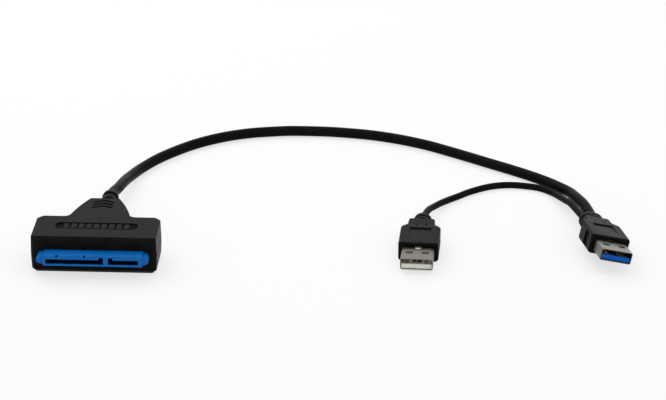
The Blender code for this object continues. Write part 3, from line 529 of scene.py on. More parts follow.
def smallPartPaint(name, low, high, roughness, metallic=0.0):
    paint = Paint(name)
    cloud = paint.noise(paint.place(), 1400.0)
    grain = paint.noise(paint.place(), 6000.0, 2.0)
    colour = paint.cloudy(cloud, low, high)
    roughness = roughness + (cloud - 0.5) * 0.15
    return paint.done(colour, roughness, paint.bump(grain, 0.4, 0.000006), Metallic=metallic)


looks = {
    "black_case": casePaint("caseBlack", casing),
    "black_jacket": jacketPaint("jacketBlack", jacket),
    "blue_receptacle": resinPaint("receptacleBlue", receptacleBlue, slotMask),
    "blue_tongue": resinPaint("tongueBlue", tongueBlue, throatMask),
    "ivory_tongue": resinPaint("tongueIvory", tongueIvory),
    "tin_steel": steelPaint("plugSteel", sheetSteel),
    "gold_contact": goldPaint("contactGold", plating),
    "green_board": boardPaint("boardGreen", solderMask),
    "black_chip": smallPartPaint("chipBlack", shade(0.014, 0.014, 0.016), shade(0.022, 0.022, 0.024), 0.5),
    "steel_can": smallPartPaint("canSteel", shade(0.520, 0.520, 0.515), shade(0.620, 0.620, 0.610), 0.3, 1.0),
    "grey_ferrite": smallPartPaint("ferriteGrey", shade(0.070, 0.070, 0.075), shade(0.095, 0.095, 0.100), 0.6),
    "tan_ceramic": smallPartPaint("ceramicTan", shade(0.370, 0.260, 0.150), shade(0.450, 0.330, 0.200), 0.6),
    "clear_mould": smallPartPaint("mouldPale", shade(0.450, 0.450, 0.430), shade(0.540, 0.540, 0.520), 0.5),
}


def dress(piece, slotName, nodes):
    piece.data.materials.clear()
    piece.data.materials.append(looks[slotName])
    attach(piece, "root")
    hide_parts(*nodes)
    return piece


print("materials mixed")


# camera, lamps and floor

view = {
    "place": (0.12884, -0.88093, 0.4131),
    "aim": (0.08446, 0.0459, 0.0),
    "lens": 140.54,
    "sensor": 36.0,
}


def aim(thing, target):
    thing.rotation_euler = (Vector(target) - thing.location).to_track_quat("-Z", "Y").to_euler()


def makeCamera():
    clearAll()
    bpy.ops.object.camera_add(location=view["place"])
    camera = bpy.context.object
    aim(camera, view["aim"])
    camera.data.lens = view["lens"]
    camera.data.sensor_width = view["sensor"]
    camera.data.clip_start = 0.01
    bpy.context.scene.camera = camera


studio = {
    "sky": 0.62,
    "floorLevel": -0.0001,
    "floorMiddle": (0.09, 0.5),
    "floorSize": 6.0,
    "floorColour": shade(0.86, 0.86, 0.86),
    "floorMist": shade(0.84, 0.84, 0.84),
    "floorGlow": 0.68,    # share of plain white that the camera and mirrors see in the floor
    "aim": (0.09, 0.04, 0.0),
    "lamps": (            # place, size, watts
        ((-0.35, 0.35, 0.75), 0.9, 3.4),
        ((0.55, -0.30, 0.80), 0.9, 2.2),
        ((0.05, 0.90, 0.55), 1.2, 3.0),
    ),
}


def makeStudio():
    world = bpy.data.worlds.new("studio")
    bpy.context.scene.world = world
    world.use_nodes = True
    tree = world.node_tree
    back = tree.nodes["Background"]
    back.inputs["Color"].default_value = shade(1.0, 1.0, 1.0)
    path = tree.nodes.new("ShaderNodeLightPath")
    seen = tree.nodes.new("ShaderNodeMath")
    seen.operation = "MAXIMUM"
    level = tree.nodes.new("ShaderNodeMapRange")
    level.inputs["To Min"].default_value = studio["sky"]
    level.inputs["To Max"].default_value = 1.0
    tree.links.new(path.outputs["Is Camera Ray"], seen.inputs[0])
    tree.links.new(path.outputs["Is Glossy Ray"], seen.inputs[1])
    tree.links.new(seen.outputs[0], level.inputs["Value"])
    tree.links.new(level.outputs["Result"], back.inputs["Strength"])
    for place, size, watts in studio["lamps"]:
        clearAll()
        bpy.ops.object.light_add(type="AREA", location=place)
        lamp = bpy.context.object
        lamp.data.size = size
        lamp.data.energy = watts
        aim(lamp, studio["aim"])
    clearAll()
    bpy.ops.mesh.primitive_plane_add(size=studio["floorSize"],
                                     location=(*studio["floorMiddle"], studio["floorLevel"]))
    floor = bpy.context.object
    floor.name = "floor"
    paint = Paint("floorPale")
    mist = paint.noise(paint.place(), 3.0)
    colour = paint.blend(mist * 0.2, studio["floorColour"], studio["floorMist"])
    paint.done(colour, 0.8, Specular_IOR_Level=0.0)
    glow = paint.node("ShaderNodeEmission", inputs={"Color": shade(1.0, 1.0, 1.0), "Strength": 1.0})
    camera, glossy, through = (paint.node("ShaderNodeLightPath", out=ray)
                               for ray in ("Is Camera Ray", "Is Glossy Ray", "Is Transmission Ray"))
    seen = paint.sum("MAXIMUM", paint.sum("MAXIMUM", camera, glossy), through)
    both = paint.node("ShaderNodeMixShader", inputs={
        0: seen * studio["floorGlow"], 1: Wire(paint, paint.shader.outputs[0]), 2: glow})
    paint.feed(paint.tree.nodes["Material Output"].inputs["Surface"], both)
    floor.data.materials.append(paint.material)


bpy.context.scene.view_settings.view_transform = "Standard"
makeCamera()
makeStudio()
print("camera, lamps and floor placed")


# cables, along the same points as their solids

plug = {
    "tail3": (0.18330, 0.02316), "turn3": 11.4, "lean3": 14.1, "lift3": 4.4, "tailWidth3": 0.0094,
    "tail2": (0.12001, 0.02072), "turn2": -2.6, "lean2": 0.0, "lift2": 0.0, "tailWidth2": 0.0071,
    "height3": 0.0040786, "height2": 0.0038,
    "width": 0.0150, "height": 0.0076, "length": 0.0296,
}


def plugPlace(tail, height, turn, lean, lift):
    pose = Matrix.Rotation(math.radians(turn), 4, "Z") @ Matrix.Rotation(math.radians(-lift), 4, "X")
    pose @= Matrix.Rotation(math.radians(lean), 4, "Y")
    return Matrix.Translation((*tail, height)) @ pose @ Matrix.Translation((0.0, -plug["length"], 0.0))


place3 = plugPlace(plug["tail3"], plug["height3"], plug["turn3"], plug["lean3"], plug["lift3"])
place2 = plugPlace(plug["tail2"], plug["height2"], plug["turn2"], plug["lean2"], plug["lift2"])

cables = {
    "mainDiameter": 0.0042,
    "thinDiameter": 0.0026,
    "gap": 0.0003,
    "fineSteps": 24,        # between two points of a route, before they are evened out
    "spacing": 0.55,        # of the evened points, in diameters
    "headExit": (0.0, 0.0302, 0.00715),
    "mainRoute": (
        (0.0001, 0.0318, 0.0071), (-0.0002, 0.0336, 0.0069), (0.0007, 0.0369, 0.0065),
        (0.0014, 0.0415, 0.0059), (0.0021, 0.0477, 0.005), (0.003, 0.0542, 0.0039),
        (0.0043, 0.0605, 0.0029), (0.0058, 0.066, 0.0023), (0.0078, 0.0705, 0.00215),
        (0.0117, 0.0775, 0.00215), (0.0167, 0.0844, 0.00215), (0.0241, 0.0928, 0.00215),
        (0.0316, 0.0991, 0.00215), (0.0395, 0.1039, 0.00215), (0.0475, 0.1072, 0.00215),
        (0.0556, 0.1091, 0.00215), (0.0636, 0.1104, 0.00215), (0.0718, 0.1105, 0.00215),
        (0.0801, 0.1102, 0.00215), (0.0885, 0.1091, 0.00215), (0.0968, 0.1075, 0.00215),
        (0.1052, 0.1049, 0.00215), (0.1134, 0.1014, 0.00215), (0.1216, 0.097, 0.00215),
        (0.1298, 0.0915, 0.00215), (0.1379, 0.0858, 0.00215), (0.1459, 0.08, 0.00215),
        (0.1539, 0.0743, 0.00215), (0.1618, 0.0682, 0.00215), (0.1693, 0.0614, 0.0022),
        (0.1763, 0.0522, 0.0027), (0.1783, 0.0472, 0.0032), (0.1798, 0.0426, 0.0037),
        (0.1813, 0.0381, 0.004), (0.1827, 0.0329, 0.004)),
    "thinRoute": (
        (0.1767, 0.0371, 0.0042), (0.1751, 0.0415, 0.0035), (0.1727, 0.0475, 0.0025),
        (0.17, 0.0531, 0.0017), (0.1659, 0.0576, 0.0014), (0.1615, 0.0595, 0.00135),
        (0.1537, 0.0607, 0.00135), (0.1459, 0.0588, 0.00135), (0.138, 0.0534, 0.00135),
        (0.1333, 0.0487, 0.00135), (0.1296, 0.0448, 0.0015), (0.1263, 0.0402, 0.00195),
        (0.1237, 0.035, 0.0027), (0.122, 0.031, 0.0033), (0.1208, 0.026, 0.00375)),
}
pairWidth = cables["mainDiameter"] + cables["gap"] + cables["thinDiameter"]
mainSide = pairWidth / 2 - cables["mainDiameter"] / 2
thinSide = cables["thinDiameter"] / 2 - pairWidth / 2


def tailMouth(place, side):
    return tuple(place @ Vector((side, plug["length"] + cables["gap"], 0.0)))


def smoothRoute(points, spacing):  # evenly spaced points along a smooth curve through the route
    route = [Vector(point) for point in points]
    route = [2 * route[0] - route[1]] + route + [2 * route[-1] - route[-2]]
    fine = []
    for before, start, end, after in zip(route, route[1:], route[2:], route[3:]):
        for index in range(cables["fineSteps"]):
            t = index / cables["fineSteps"]
            fine.append(0.5 * (2 * start + (end - before) * t
                               + (2 * before - 5 * start + 4 * end - after) * t ** 2
                               + (3 * start - before - 3 * end + after) * t ** 3))
    fine.append(route[-2])
    lengths = [0.0]
    for first, second in zip(fine, fine[1:]):
        lengths.append(lengths[-1] + (second - first).length)
    count = round(lengths[-1] / spacing)
    wantedSpots = [lengths[-1] * index / count for index in range(count + 1)]
    even = []
    spot = 0
    for wanted in wantedSpots:
        while spot < len(lengths) - 2 and lengths[spot + 1] < wanted:
            spot += 1
        share = (wanted - lengths[spot]) / (lengths[spot + 1] - lengths[spot])
        even.append(fine[spot].lerp(fine[spot + 1], share))
    return even, lengths[-1]


def cable(name, points, diameter, node):
    path, length = smoothRoute(points, cables["spacing"] * diameter)
    data = bpy.data.curves.new(name, "CURVE")
    data.dimensions = "3D"
    data.bevel_depth = diameter / 2
    data.bevel_resolution = 6
    data.use_fill_caps = True
    spline = data.splines.new("POLY")
    spline.points.add(len(path) - 1)
    for point, spot in zip(spline.points, path):
        point.co = (*spot, 1.0)
    spline.use_smooth = True
    piece = bpy.data.objects.new(name, data)
    bpy.context.scene.collection.objects.link(piece)
    dress(piece, "black_jacket", [node])
    print(name, "is", round(length * 1000, 1), "mm long")
    return piece, length


mainEnds = cables["headExit"], tailMouth(place3, mainSide)
mainCable, mainLength = cable("mainCable", (mainEnds[0], *cables["mainRoute"], mainEnds[1]),
                              cables["mainDiameter"], "main_cable")
thinStart = tailMouth(place3, thinSide)
thinCable, thinLength = cable("thinCable", (thinStart, *cables["thinRoute"], tailMouth(place2, 0.0)),
                              cables["thinDiameter"], "power_cable")
print("cables laid")


# housing

head = {
    "width": 0.0464, "height": 0.0143, "front": -0.0251, "boxDepth": 0.0200, "neckEnd": 0.0368,
    "neckBase": 0.0119, "neckTip": 0.00555, "neckBulge": 0.0005, "neckFillet": 0.0016, "neckCorner": 0.0004,
    "frontCorner": 0.0013, "backCorner": 0.0023, "topChamfer": 0.0012, "footChamfer": 0.0015,
    "draft": 0.0002, "seam": 0.00015, "wall": 0.0015,
    "edge": 0.00022,        # rounding of the outer edges
    "fineEdge": 0.00006,    # rounding of the marks in the top
    "endMargin": 0.0006, "endReach": 0.0009,    # how near the neck's end an edge is left out or counts
}
marks = {
    "recessLength": 0.0304, "recessWidth": 0.0055, "recessDepth": 0.0004, "recessBack": 0.0113,
    "recessCorner": 0.0012, "bars": 9, "barWidth": 0.0019, "barMargin": 0.0007, "barFoot": 0.0008,
    "chevrons": 3, "chevronHalf": 0.0038, "chevronRise": 0.00185, "chevronStroke": 0.0011,
    "chevronPitch": 0.00243, "chevronFirst": 0.02710, "depth": 0.0006, "gateBack": 0.0180, "gateRadius": 0.0004,
    "frontLine": 0.0002,    # width, depth and setback of the fine line along the front
}


def neckStations():  # depth and half width of the neck, from its fillets to its end
    slope = (head["neckBase"] - head["neckTip"]) / (head["neckEnd"] - head["boxDepth"])
    start = (head["neckBase"] + head["neckFillet"], head["boxDepth"])
    foot = (head["neckBase"] - slope * head["neckFillet"], head["boxDepth"] + head["neckFillet"])
    tip = (head["neckTip"], head["neckEnd"])
    swell = ((foot[0] + tip[0]) / 2 + 2 * head["neckBulge"], (foot[1] + tip[1]) / 2)
    curve = [start] + curvePoints(start, (head["neckBase"], head["boxDepth"]), foot, 6)
    return [(depth, half, 1.0) for half, depth in curve + curvePoints(foot, swell, tip, 8)]


def headSheet(name, level):  # the outline seen from above: a plane, its corners cut, its back edge drawn out
    half = head["width"] / 2
    back = head["front"] + head["boxDepth"]
    piece = sheetAt(name, (-half, head["front"]), (half, back), level)
    for atFront, width in ((True, head["frontCorner"]), (False, head["backCorner"])):
        pickSpots(piece, lambda spot: (spot.y < back - 0.01) == atFront and abs(spot.x) > half - hair)
        bpy.ops.mesh.bevel(offset=width, segments=1, affect="VERTICES")
        objectMode()
    stations = neckStations()
    start = stations[0][1]
    for side in (-1, 1):
        split(piece, (side * start, 0.0, 0.0), (1.0, 0.0, 0.0))
    pickEdges(piece, lambda a, b: near(a.y, back) and near(b.y, back)
              and max(abs(a.x), abs(b.x)) < start + hair)
    drawOut(stations, head["front"], level)
    return piece


def headBlank(name, level, steps):  # walls and end face of one half, each step an inset and a rise
    piece = headSheet(name, level)
    pickFaces(piece, lambda centre, normal: True)
    for inset, rise in steps:
        bpy.ops.mesh.inset(thickness=inset, depth=0.0, use_boundary=True, use_even_offset=True)
        bpy.ops.transform.translate(value=(0.0, 0.0, rise))
    closeOpen(piece)
    tip = head["front"] + head["neckEnd"]
    pickEdges(piece, lambda a, b: abs(a.z - b.z) > reach and min(a.y, b.y) > tip - head["endReach"])
    bevelEdges(head["neckCorner"], 3)
    return piece


def roundOutside(piece, level):
    pickSharp(piece, 25.0, lambda a, b: not (near(a.z, level) and near(b.z, level)))
    bevelEdges(head["edge"], 3)


def noseForm(name, growth, front, earFront, back, edge=0.0):  # a nose with a sloped ear at each side
    half = sata["slotSpan"] / 2 + sata["sideWall"]
    low = sata["low"]
    high = sata["high"]
    step = sata["earStep"]
    earHalf = half + sata["earInner"] + sata["earOuter"]
    nose = box(name, (-half - growth, half + sata["rightWall"] + growth), (front, back),
               (low - growth, high + growth))
    ears = box("ears", (-earHalf - growth, earHalf + growth), (earFront, back),
               (low + step - growth, high - step + growth))
    for side in (-1, 1):
        lowWay = Vector((side * step, 0.0, -sata["earOuter"])).normalized()
        split(ears, Vector((side * earHalf, 0.0, low + 2 * step)) + lowWay * growth, lowWay, True)
        highWay = Vector((side * 2 * step, 0.0, sata["earSlope"])).normalized()
        split(ears, Vector((side * earHalf, 0.0, high - 3 * step)) + highWay * growth, highWay, True)
    if edge:
        for piece, first in ((nose, front), (ears, earFront)):
            pickSharp(piece, 30.0, lambda a, b: min(a.y, b.y) < first + hair and max(a.y, b.y) < back - hair)
            bevelEdges(edge, 2)
    carve(nose, [ears], "UNION")
    return nose


def shellCavity(low, high):
    half = head["width"] / 2 - head["wall"]
    back = head["front"] + head["boxDepth"] - head["wall"]
    room = block("room", (-half, head["front"] + head["wall"], low), (half, back, high))
    neckHalf = head["neckBase"] - head["wall"]
    tip = head["front"] + head["neckEnd"] - head["wall"]
    neck = block("neckRoom", (-neckHalf, back - head["wall"], low), (neckHalf, tip, high))
    pickFaces(neck, atBack)
    grow(((head["neckTip"] - head["wall"]) / neckHalf, 1.0, 1.0), (0.0, tip, low))
    objectMode()
    middle = head["height"] / 2
    window = noseForm("window", fit, head["front"] - past, head["front"] - past, head["front"] + 0.003)
    hole = rod("neckHole", (0.0, tip - head["wall"], middle), (0.0, tip + 2 * head["wall"], middle),
               boot["waist"] + fit)
    return [room, neck, window, hole]


def topMarks():
    top = head["height"]
    half = marks["recessLength"] / 2
    side = marks["recessWidth"] / 2
    middle = head["front"] + marks["recessBack"]
    recess = box("recess", (-half, half), (middle - side, middle + side),
                 (top - marks["recessDepth"], top + past))
    pickEdges(recess, runsAlong(2))
    bevelEdges(marks["recessCorner"])
    cutters = [recess]
    for index in range(marks["chevrons"]):
        back = head["front"] + marks["chevronFirst"] + index * marks["chevronPitch"]
        groove = block("chevron", (-marks["chevronHalf"], back, top - marks["depth"]),
                       (marks["chevronHalf"], back + marks["chevronStroke"], top + past))
        split(groove, (0.0, 0.0, 0.0), (1.0, 0.0, 0.0))
        pickSpots(groove, lambda spot: near(spot.x, 0.0))
        bpy.ops.transform.translate(value=(0.0, marks["chevronRise"], 0.0))
        cutters.append(groove)
    line = head["front"] + head["topChamfer"] + marks["frontLine"]
    cutters.append(block("frontLine", (-head["width"], line, top - marks["frontLine"]),
                         (head["width"], line + marks["frontLine"], top + past)))
    gate = head["front"] + marks["gateBack"]
    cutters.append(rod("gate", (0.0, gate, top - marks["depth"]), (0.0, gate, top + past),
                       marks["gateRadius"], 24))
    return cutters


def recessBars():
    pitch = (marks["recessLength"] - 2 * marks["recessCorner"]) / (marks["bars"] + 1)
    middle = head["front"] + marks["recessBack"]
    along = span(middle, marks["recessWidth"] - 2 * marks["barMargin"])
    up = (head["height"] - marks["barFoot"], head["height"] - marks["recessDepth"] / 4)
    first = (marks["bars"] - 1) / 2
    return together([box("bar", span((index - first) * pitch, marks["barWidth"]), along, up)
                     for index in range(marks["bars"])], "bars")


def upperShell():
    seam = (head["height"] + head["seam"]) / 2
    piece = headBlank("upperShell", seam, [(head["draft"], head["height"] - seam)])
    chamfer = (0.0, head["front"] + head["topChamfer"], head["height"])
    split(piece, chamfer, (0.0, -1.0, 1.0), True)
    roundOutside(piece, seam)
    carve(piece, shellCavity(seam - past, head["height"] - head["wall"]))
    carve(piece, topMarks())
    carve(piece, [recessBars()], "UNION")
    low = head["height"] - marks["recessDepth"] / 3
    reach = head["front"] + marks["recessBack"] - marks["recessWidth"]
    pickSharp(piece, 30.0, lambda a, b: min(a.z, b.z) > low and min(a.y, b.y) > reach
              and max(abs(a.x), abs(b.x)) < marks["recessLength"] / 2 + 2 * slack
              and max(a.y, b.y) < head["front"] + head["neckEnd"] - head["endMargin"]
              and insideMarks(a) and insideMarks(b))
    bevelEdges(head["fineEdge"], 2)
    shadeSmooth(piece)
    return dress(piece, "black_case", ["upper_shell"])


def insideMarks(spot):  # within the recess, or within the neck's chevrons
    if spot.y < head["front"] + marks["gateBack"] + reach:
        return True
    return abs(spot.x) < marks["chevronHalf"] + slack


def lowerShell():
    seam = (head["height"] - head["seam"]) / 2
    piece = headBlank("lowerShell", seam, [(head["draft"], head["footChamfer"] - seam),
                                           (head["footChamfer"], -head["footChamfer"])])
    roundOutside(piece, seam)
    carve(piece, shellCavity(head["wall"], seam + past))
    shadeSmooth(piece)
    return dress(piece, "black_case", ["lower_shell"])


# SATA receptacle

sata = {
    "low": 0.0053, "high": 0.0095, "noseOut": 0.0048, "slotSpan": 0.03339, "powerSlot": 0.02057,
    "signalSlot": 0.01041, "sideWall": 0.0013, "slotFloor": 0.0061, "slotRoof": 0.0078, "slotDepth": 0.0062,
    "keyWidth": 0.0016, "keyHeight": 0.0009, "slotLead": 0.00015, "slotEase": 0.00028, "rightWall": 0.0005,
    "earInner": 0.0013, "earOuter": 0.0012, "earStep": 0.0006, "earSlope": 0.0007, "earSetBack": 0.0006,
    "flangeDepth": 0.0035, "flangeEdge": 0.0006, "pitch": 0.00127, "endMargin": 0.00082,
    "grooveWidth": 0.0009, "grooveHeight": 0.0007, "grooveFront": 0.0009, "grooveDip": 0.0001,
    "pitSize": 0.0008, "pitDepth": 0.0008, "pits": (-0.0128, -0.0027), "edge": 0.00014,
}


def contactPlaces():
    half = sata["slotSpan"] / 2 - sata["endMargin"]
    return ([index * sata["pitch"] - half for index in range(15)]
            + [half - index * sata["pitch"] for index in range(7)])


def keyedSlot(name, across, key, along):  # an L seen from the front
    floor, roof = sata["slotFloor"], sata["slotRoof"]
    slot = box(name, across, along, (floor, roof))
    carve(slot, [box("key", key, along, (floor, roof + sata["keyHeight"]))], "UNION")
    return slot


def sataReceptacle():
    nose = head["front"] - sata["noseOut"]
    wall = head["front"] + head["wall"] + fit
    back = wall + sata["flangeDepth"]
    edge = sata["flangeEdge"]
    earHalf = (sata["slotSpan"] / 2 + sata["sideWall"]
               + sata["earInner"] + sata["earOuter"])
    piece = noseForm("sataReceptacle", 0.0, nose, nose + sata["earSetBack"], wall + past,
                     sata["edge"])
    carve(piece, [box("flange", (-earHalf - edge, earHalf + edge), (wall, back),
                      (sata["low"] - edge, sata["high"] + edge))], "UNION")
    left = -sata["slotSpan"] / 2
    ease = sata["slotEase"]
    power = (left - ease, left + sata["powerSlot"] + ease)
    signal = (-left - sata["signalSlot"] - ease, ease - left)
    roof = sata["slotRoof"]
    rise = roof + sata["keyHeight"]
    key = sata["keyWidth"]
    along = (nose - past, nose + sata["slotDepth"])
    carve(piece, [keyedSlot("powerSlot", power, (power[1] - key, power[1]), along),
                  keyedSlot("signalSlot", signal, (signal[0], signal[0] + key), along)])
    pickSharp(piece, 30.0, lambda a, b: near(a.y, nose) and near(b.y, nose)
              and max(abs(a.x), abs(b.x)) < ease - left + slack
              and min(a.z, b.z) > sata["slotFloor"] - slack and max(a.z, b.z) < rise + slack)
    bevelEdges(sata["slotLead"])
    along = (nose + sata["grooveFront"], back + past)
    up = (roof - sata["grooveDip"], roof + sata["grooveHeight"])
    grooves = [box("groove", span(place, sata["grooveWidth"]), along, up) for place in contactPlaces()]
    size = sata["pitSize"]
    pits = [box("pit", span(place, size), (nose - past, nose + sata["pitDepth"]), (rise, rise + size))
            for place in sata["pits"]]
    carve(piece, [together(grooves, "grooves"), together(pits, "pits")])
    shadeSmooth(piece)
    return dress(piece, "blue_receptacle", ["sata_connector_body"])


# strain relief

boot = {
    "end": 0.0550, "radius": 0.00325, "waist": 0.0027, "collar": 0.0040, "collarDepth": 0.0015,
    "rings": 3, "ringShare": 0.58, "dome": 0.0032, "mouth": 0.0024,
    "step": 0.00003, "collarStep": 0.00005, "lipThin": 0.0001,
    "lip": 0.0008,          # how far it is longer than its solid, to close over the cable
    "sideways": -0.0003,    # how far its end stands off the middle line
}


def bootStations():  # distance from the mating face and radius, from the collar to the mouth
    inside = head["neckEnd"] - head["wall"] - fit
    outside = head["neckEnd"] + fit
    pitch = (boot["end"] - boot["dome"] - outside) / boot["rings"]
    edge = boot["radius"] - boot["waist"]
    radius, waist = boot["radius"], boot["waist"]
    stations = [(inside, boot["collar"]), (inside + boot["collarStep"], waist), (outside, waist)]
    for index in range(boot["rings"]):
        start = outside + index * pitch
        stop = start + pitch * boot["ringShare"]
        stations += [(start + boot["step"], radius - edge / 3), (start + edge / 5, radius - edge / 12)]
        stations += [(start + edge / 2, radius), (stop - edge / 2, radius)]
        stations += [(stop - edge / 6, radius - edge / 10), (stop, radius - edge / 3)]
        stations += [(stop + edge / 3, waist), (start + pitch - edge / 3, waist)]
    for index in range(9):
        angle = math.radians(90) * index / 8
        stations.append((boot["end"] - boot["dome"] * (1 - math.sin(angle)),
                         boot["mouth"] + (radius - boot["mouth"]) * math.cos(angle)))
    stations.append((boot["end"] + boot["lip"], boot["mouth"] - boot["lipThin"]))
    return stations


def strainRelief():
    start = head["neckEnd"] - head["wall"] - fit - boot["collarDepth"]
    middle = head["height"] / 2
    stations = bootStations()
    piece = rod("strainRelief", (0.0, head["front"] + start, middle),
                (0.0, head["front"] + stations[0][0], middle), boot["collar"], 64)
    pickFaces(piece, atBack)
    depth, radius = stations[0]
    aside = 0.0
    for nextDepth, nextRadius in stations[1:]:
        pull((0.0, nextDepth - depth, 0.0))
        grow((nextRadius / radius, 1.0, nextRadius / radius), (aside, head["front"] + nextDepth, middle))
        if nextDepth > head["neckEnd"]:
            move = boot["sideways"] * (nextDepth - depth) / (boot["end"] - head["neckEnd"])
            bpy.ops.transform.translate(value=(move, 0.0, 0.0))
            aside += move
        depth, radius = nextDepth, nextRadius
    shadeSmooth(piece, 40.0)
    return dress(piece, "black_jacket", ["sata_strain_relief"])


upperShell()
lowerShell()
print("housing modelled")
sataReceptacle()
strainRelief()
print("receptacle and strain relief modelled")


# USB plugs, each made with its axis on Y and its front face at y = 0, then put in its place

body = {
    "topCorner": 0.0008, "lowCorner": 0.0014, "edge": 0.0007, "depth": 0.0152, "shoulder": 0.0025,
    "shoulderBlend": 0.0006,
    "stepWidth": 0.0102, "stepHeight": 0.0073, "stepEndWidth": 0.0090, "stepDepth": 0.0053,
    "ring": 0.0015, "groove": 0.0009, "grooveDepth": 0.0006, "rings": 2, "dome": 0.0018,
    "tailHeight": 0.0069, "mouthHeight": 0.0048,
    "gripFront": 0.0032, "gripLength": 0.0052, "gripDepth": 0.0007, "gripHalf": 0.0027,
    "panelHalf": 0.0040, "panelBack": 0.0139, "panelDepth": 0.00045, "panelLength": 0.0100,
    "dotBack": 0.0169, "dotSpan": 0.00185, "dotRadius": 0.0005,
    "dotDepth": 0.0009, "gripCorner": 0.0005, "panelRun": 0.0015, "fineEdge": 0.00005,
    "pocketWidth": 0.0123, "pocketHeight": 0.0048, "pocketDepth": 0.0063, "pocketCorner": 0.0007,
    "mouldHalf": 0.0056, "mouldFront": 0.005, "mouldDepth": 0.0131, "mouldTall": 0.00185,
    "ease": (0.00002, 0.00006),     # how a shoulder's height falls off at its start and its end
    "markReach": 0.0006,            # how far down the edges of the marks on top are looked for
    "ringFoot": 0.0001,
    # depth and inset after a ring's start, then before its end
    "ringRise": ((0.0001, 0.00012), (0.00025, 0.0)),
    "ringFall": ((-0.00025, 0.0), (-0.0001, 0.00006), (0.0, 0.00018)),
}


def tailForm(width):  # two rings and a rounded end, drawn out from a flattened cylinder
    tall = body["tailHeight"]
    start = body["depth"] + body["shoulder"] + body["stepDepth"]
    piece = rod("tail", (0.0, start - past, 0.0), (0.0, start, 0.0), tall / 2, 64)
    for side in (-1, 1):
        pickSpots(piece, lambda spot: spot.x * side > hair)
        bpy.ops.transform.translate(value=(side * (width - tall) / 2, 0.0, 0.0))
    slim = body["grooveDepth"]
    stations = [(start, 0.0)]
    for index in range(body["rings"]):
        base = start + index * (body["ring"] + body["groove"])
        low = base + body["groove"]
        end = low + body["ring"]
        stations += [(base + body["ringFoot"], slim), (low, slim)]
        stations += [(low + along, inset) for along, inset in body["ringRise"]]
        last = 3 if index + 1 < body["rings"] else 1
        stations += [(end + along, inset) for along, inset in body["ringFall"][:last]]
    mouth = plug["length"]
    fall = (tall - body["mouthHeight"]) / 2
    for index in range(1, 8):
        angle = math.radians(90) * index / 7
        stations.append((mouth - body["dome"] * (1 - math.sin(angle)), fall * (1 - math.cos(angle))))
    pickFaces(piece, atBack)
    drawOut([(depth, width - 2 * inset, tall - 2 * inset) for depth, inset in stations])
    return piece


def plugBody(name, tailWidth, place, node):
    half = plug["width"] / 2
    tall = plug["height"] / 2
    blend = body["shoulderBlend"]
    piece = block(name, (-half, 0.0, -tall), (half, body["depth"] - blend, tall))
    pickEdges(piece, lambda a, b: near(a.x, b.x) and near(a.z, b.z) and a.z > 0)
    bevelEdges(body["topCorner"], 5)
    pickEdges(piece, lambda a, b: abs(a.y - b.y) > 0.01 and near(a.x, b.x) and near(a.z, b.z)
              and a.z < 0 and abs(a.x) > half - hair and a.z < -tall + hair)
    bevelEdges(body["lowCorner"], 6)
    pickFaces(piece, atBack)
    wide, high, depth = plug["width"], plug["height"], body["depth"]
    stepWide, stepHigh, endWide, corner = (body[name] for name in (
        "stepWidth", "stepHeight", "stepEndWidth", "topCorner"))
    shoulder = depth + body["shoulder"]
    stepEnd = shoulder + body["stepDepth"]
    fall = (wide - stepWide) / body["shoulder"]
    little, more = body["ease"]
    drawOut([(depth - blend, wide, high),
             (depth - blend / 3, wide - fall * blend / 6, high),
             (depth + blend / 3, wide - fall * blend / 2, high - little),
             (depth + blend, wide - fall * blend, high - more),
             (shoulder - blend, stepWide + fall * blend, stepHigh + more),
             (shoulder - blend / 3, stepWide + fall * blend / 2, stepHigh + little),
             (shoulder + blend / 3, stepWide + fall * blend / 6, stepHigh),
             (stepEnd - corner, endWide + corner, stepHigh),
             (stepEnd - corner / 4, endWide, stepHigh - corner / 3),
             (stepEnd, endWide - corner, stepHigh - corner)])
    pickEdges(piece, lambda a, b: near(a.y, 0.0) and near(b.y, 0.0))
    bevelEdges(body["edge"], 5)
    carve(piece, bodyCutters())
    pickSharp(piece, 30.0, lambda a, b: min(a.z, b.z) > tall - body["markReach"] and min(a.y, b.y) > 2 * reach
              and max(a.y, b.y) < body["dotBack"] + reach
              and max(abs(a.x), abs(b.x)) < body["panelHalf"] + slack)
    bevelEdges(body["fineEdge"], 2)
    piece = together([piece, tailForm(tailWidth)], name)
    shadeSmooth(piece)
    moveTo(piece, place)
    return dress(piece, "black_case", [node])


def bodyCutters():
    half = plug["width"] / 2
    tall = plug["height"] / 2
    pocket = box("pocket", span(0.0, body["pocketWidth"]), (-past, body["pocketDepth"]),
                 span(0.0, body["pocketHeight"]))
    pickEdges(pocket, runsAlong(1))
    bevelEdges(body["pocketCorner"], 4)
    mould = block("mould", (-body["mouldHalf"], body["mouldFront"], -body["mouldTall"]),
                  (body["mouldHalf"], body["mouldDepth"], body["mouldTall"]))
    run = body["panelRun"]
    panelFront = body["panelBack"] - body["panelLength"] - run
    panel = block("panel", (-body["panelHalf"], panelFront, tall - body["panelDepth"]),
                  (body["panelHalf"], body["panelBack"], tall + run))
    pickSpots(panel, lambda spot: spot.z < tall and spot.y < body["panelBack"] - reach)
    lift = body["panelDepth"] * (1 + run / body["panelLength"])
    bpy.ops.transform.translate(value=(0.0, 0.0, lift))
    objectMode()
    cutters = [pocket, mould, panel]
    for side in (-1, 1):
        cutters.append(rod("dot", (side * body["dotSpan"], body["dotBack"], tall - body["dotDepth"]),
                           (side * body["dotSpan"], body["dotBack"], tall + past), body["dotRadius"], 24))
        inner = side * (half - body["gripDepth"])
        outer = side * (half + past)
        grip = block("grip", (min(inner, outer), body["gripFront"], -body["gripHalf"]),
                     (max(inner, outer), body["gripFront"] + body["gripLength"], body["gripHalf"]))
        pickEdges(grip, runsAlong(0))
        bevelEdges(body["gripCorner"], 3)
        cutters.append(grip)
    return cutters


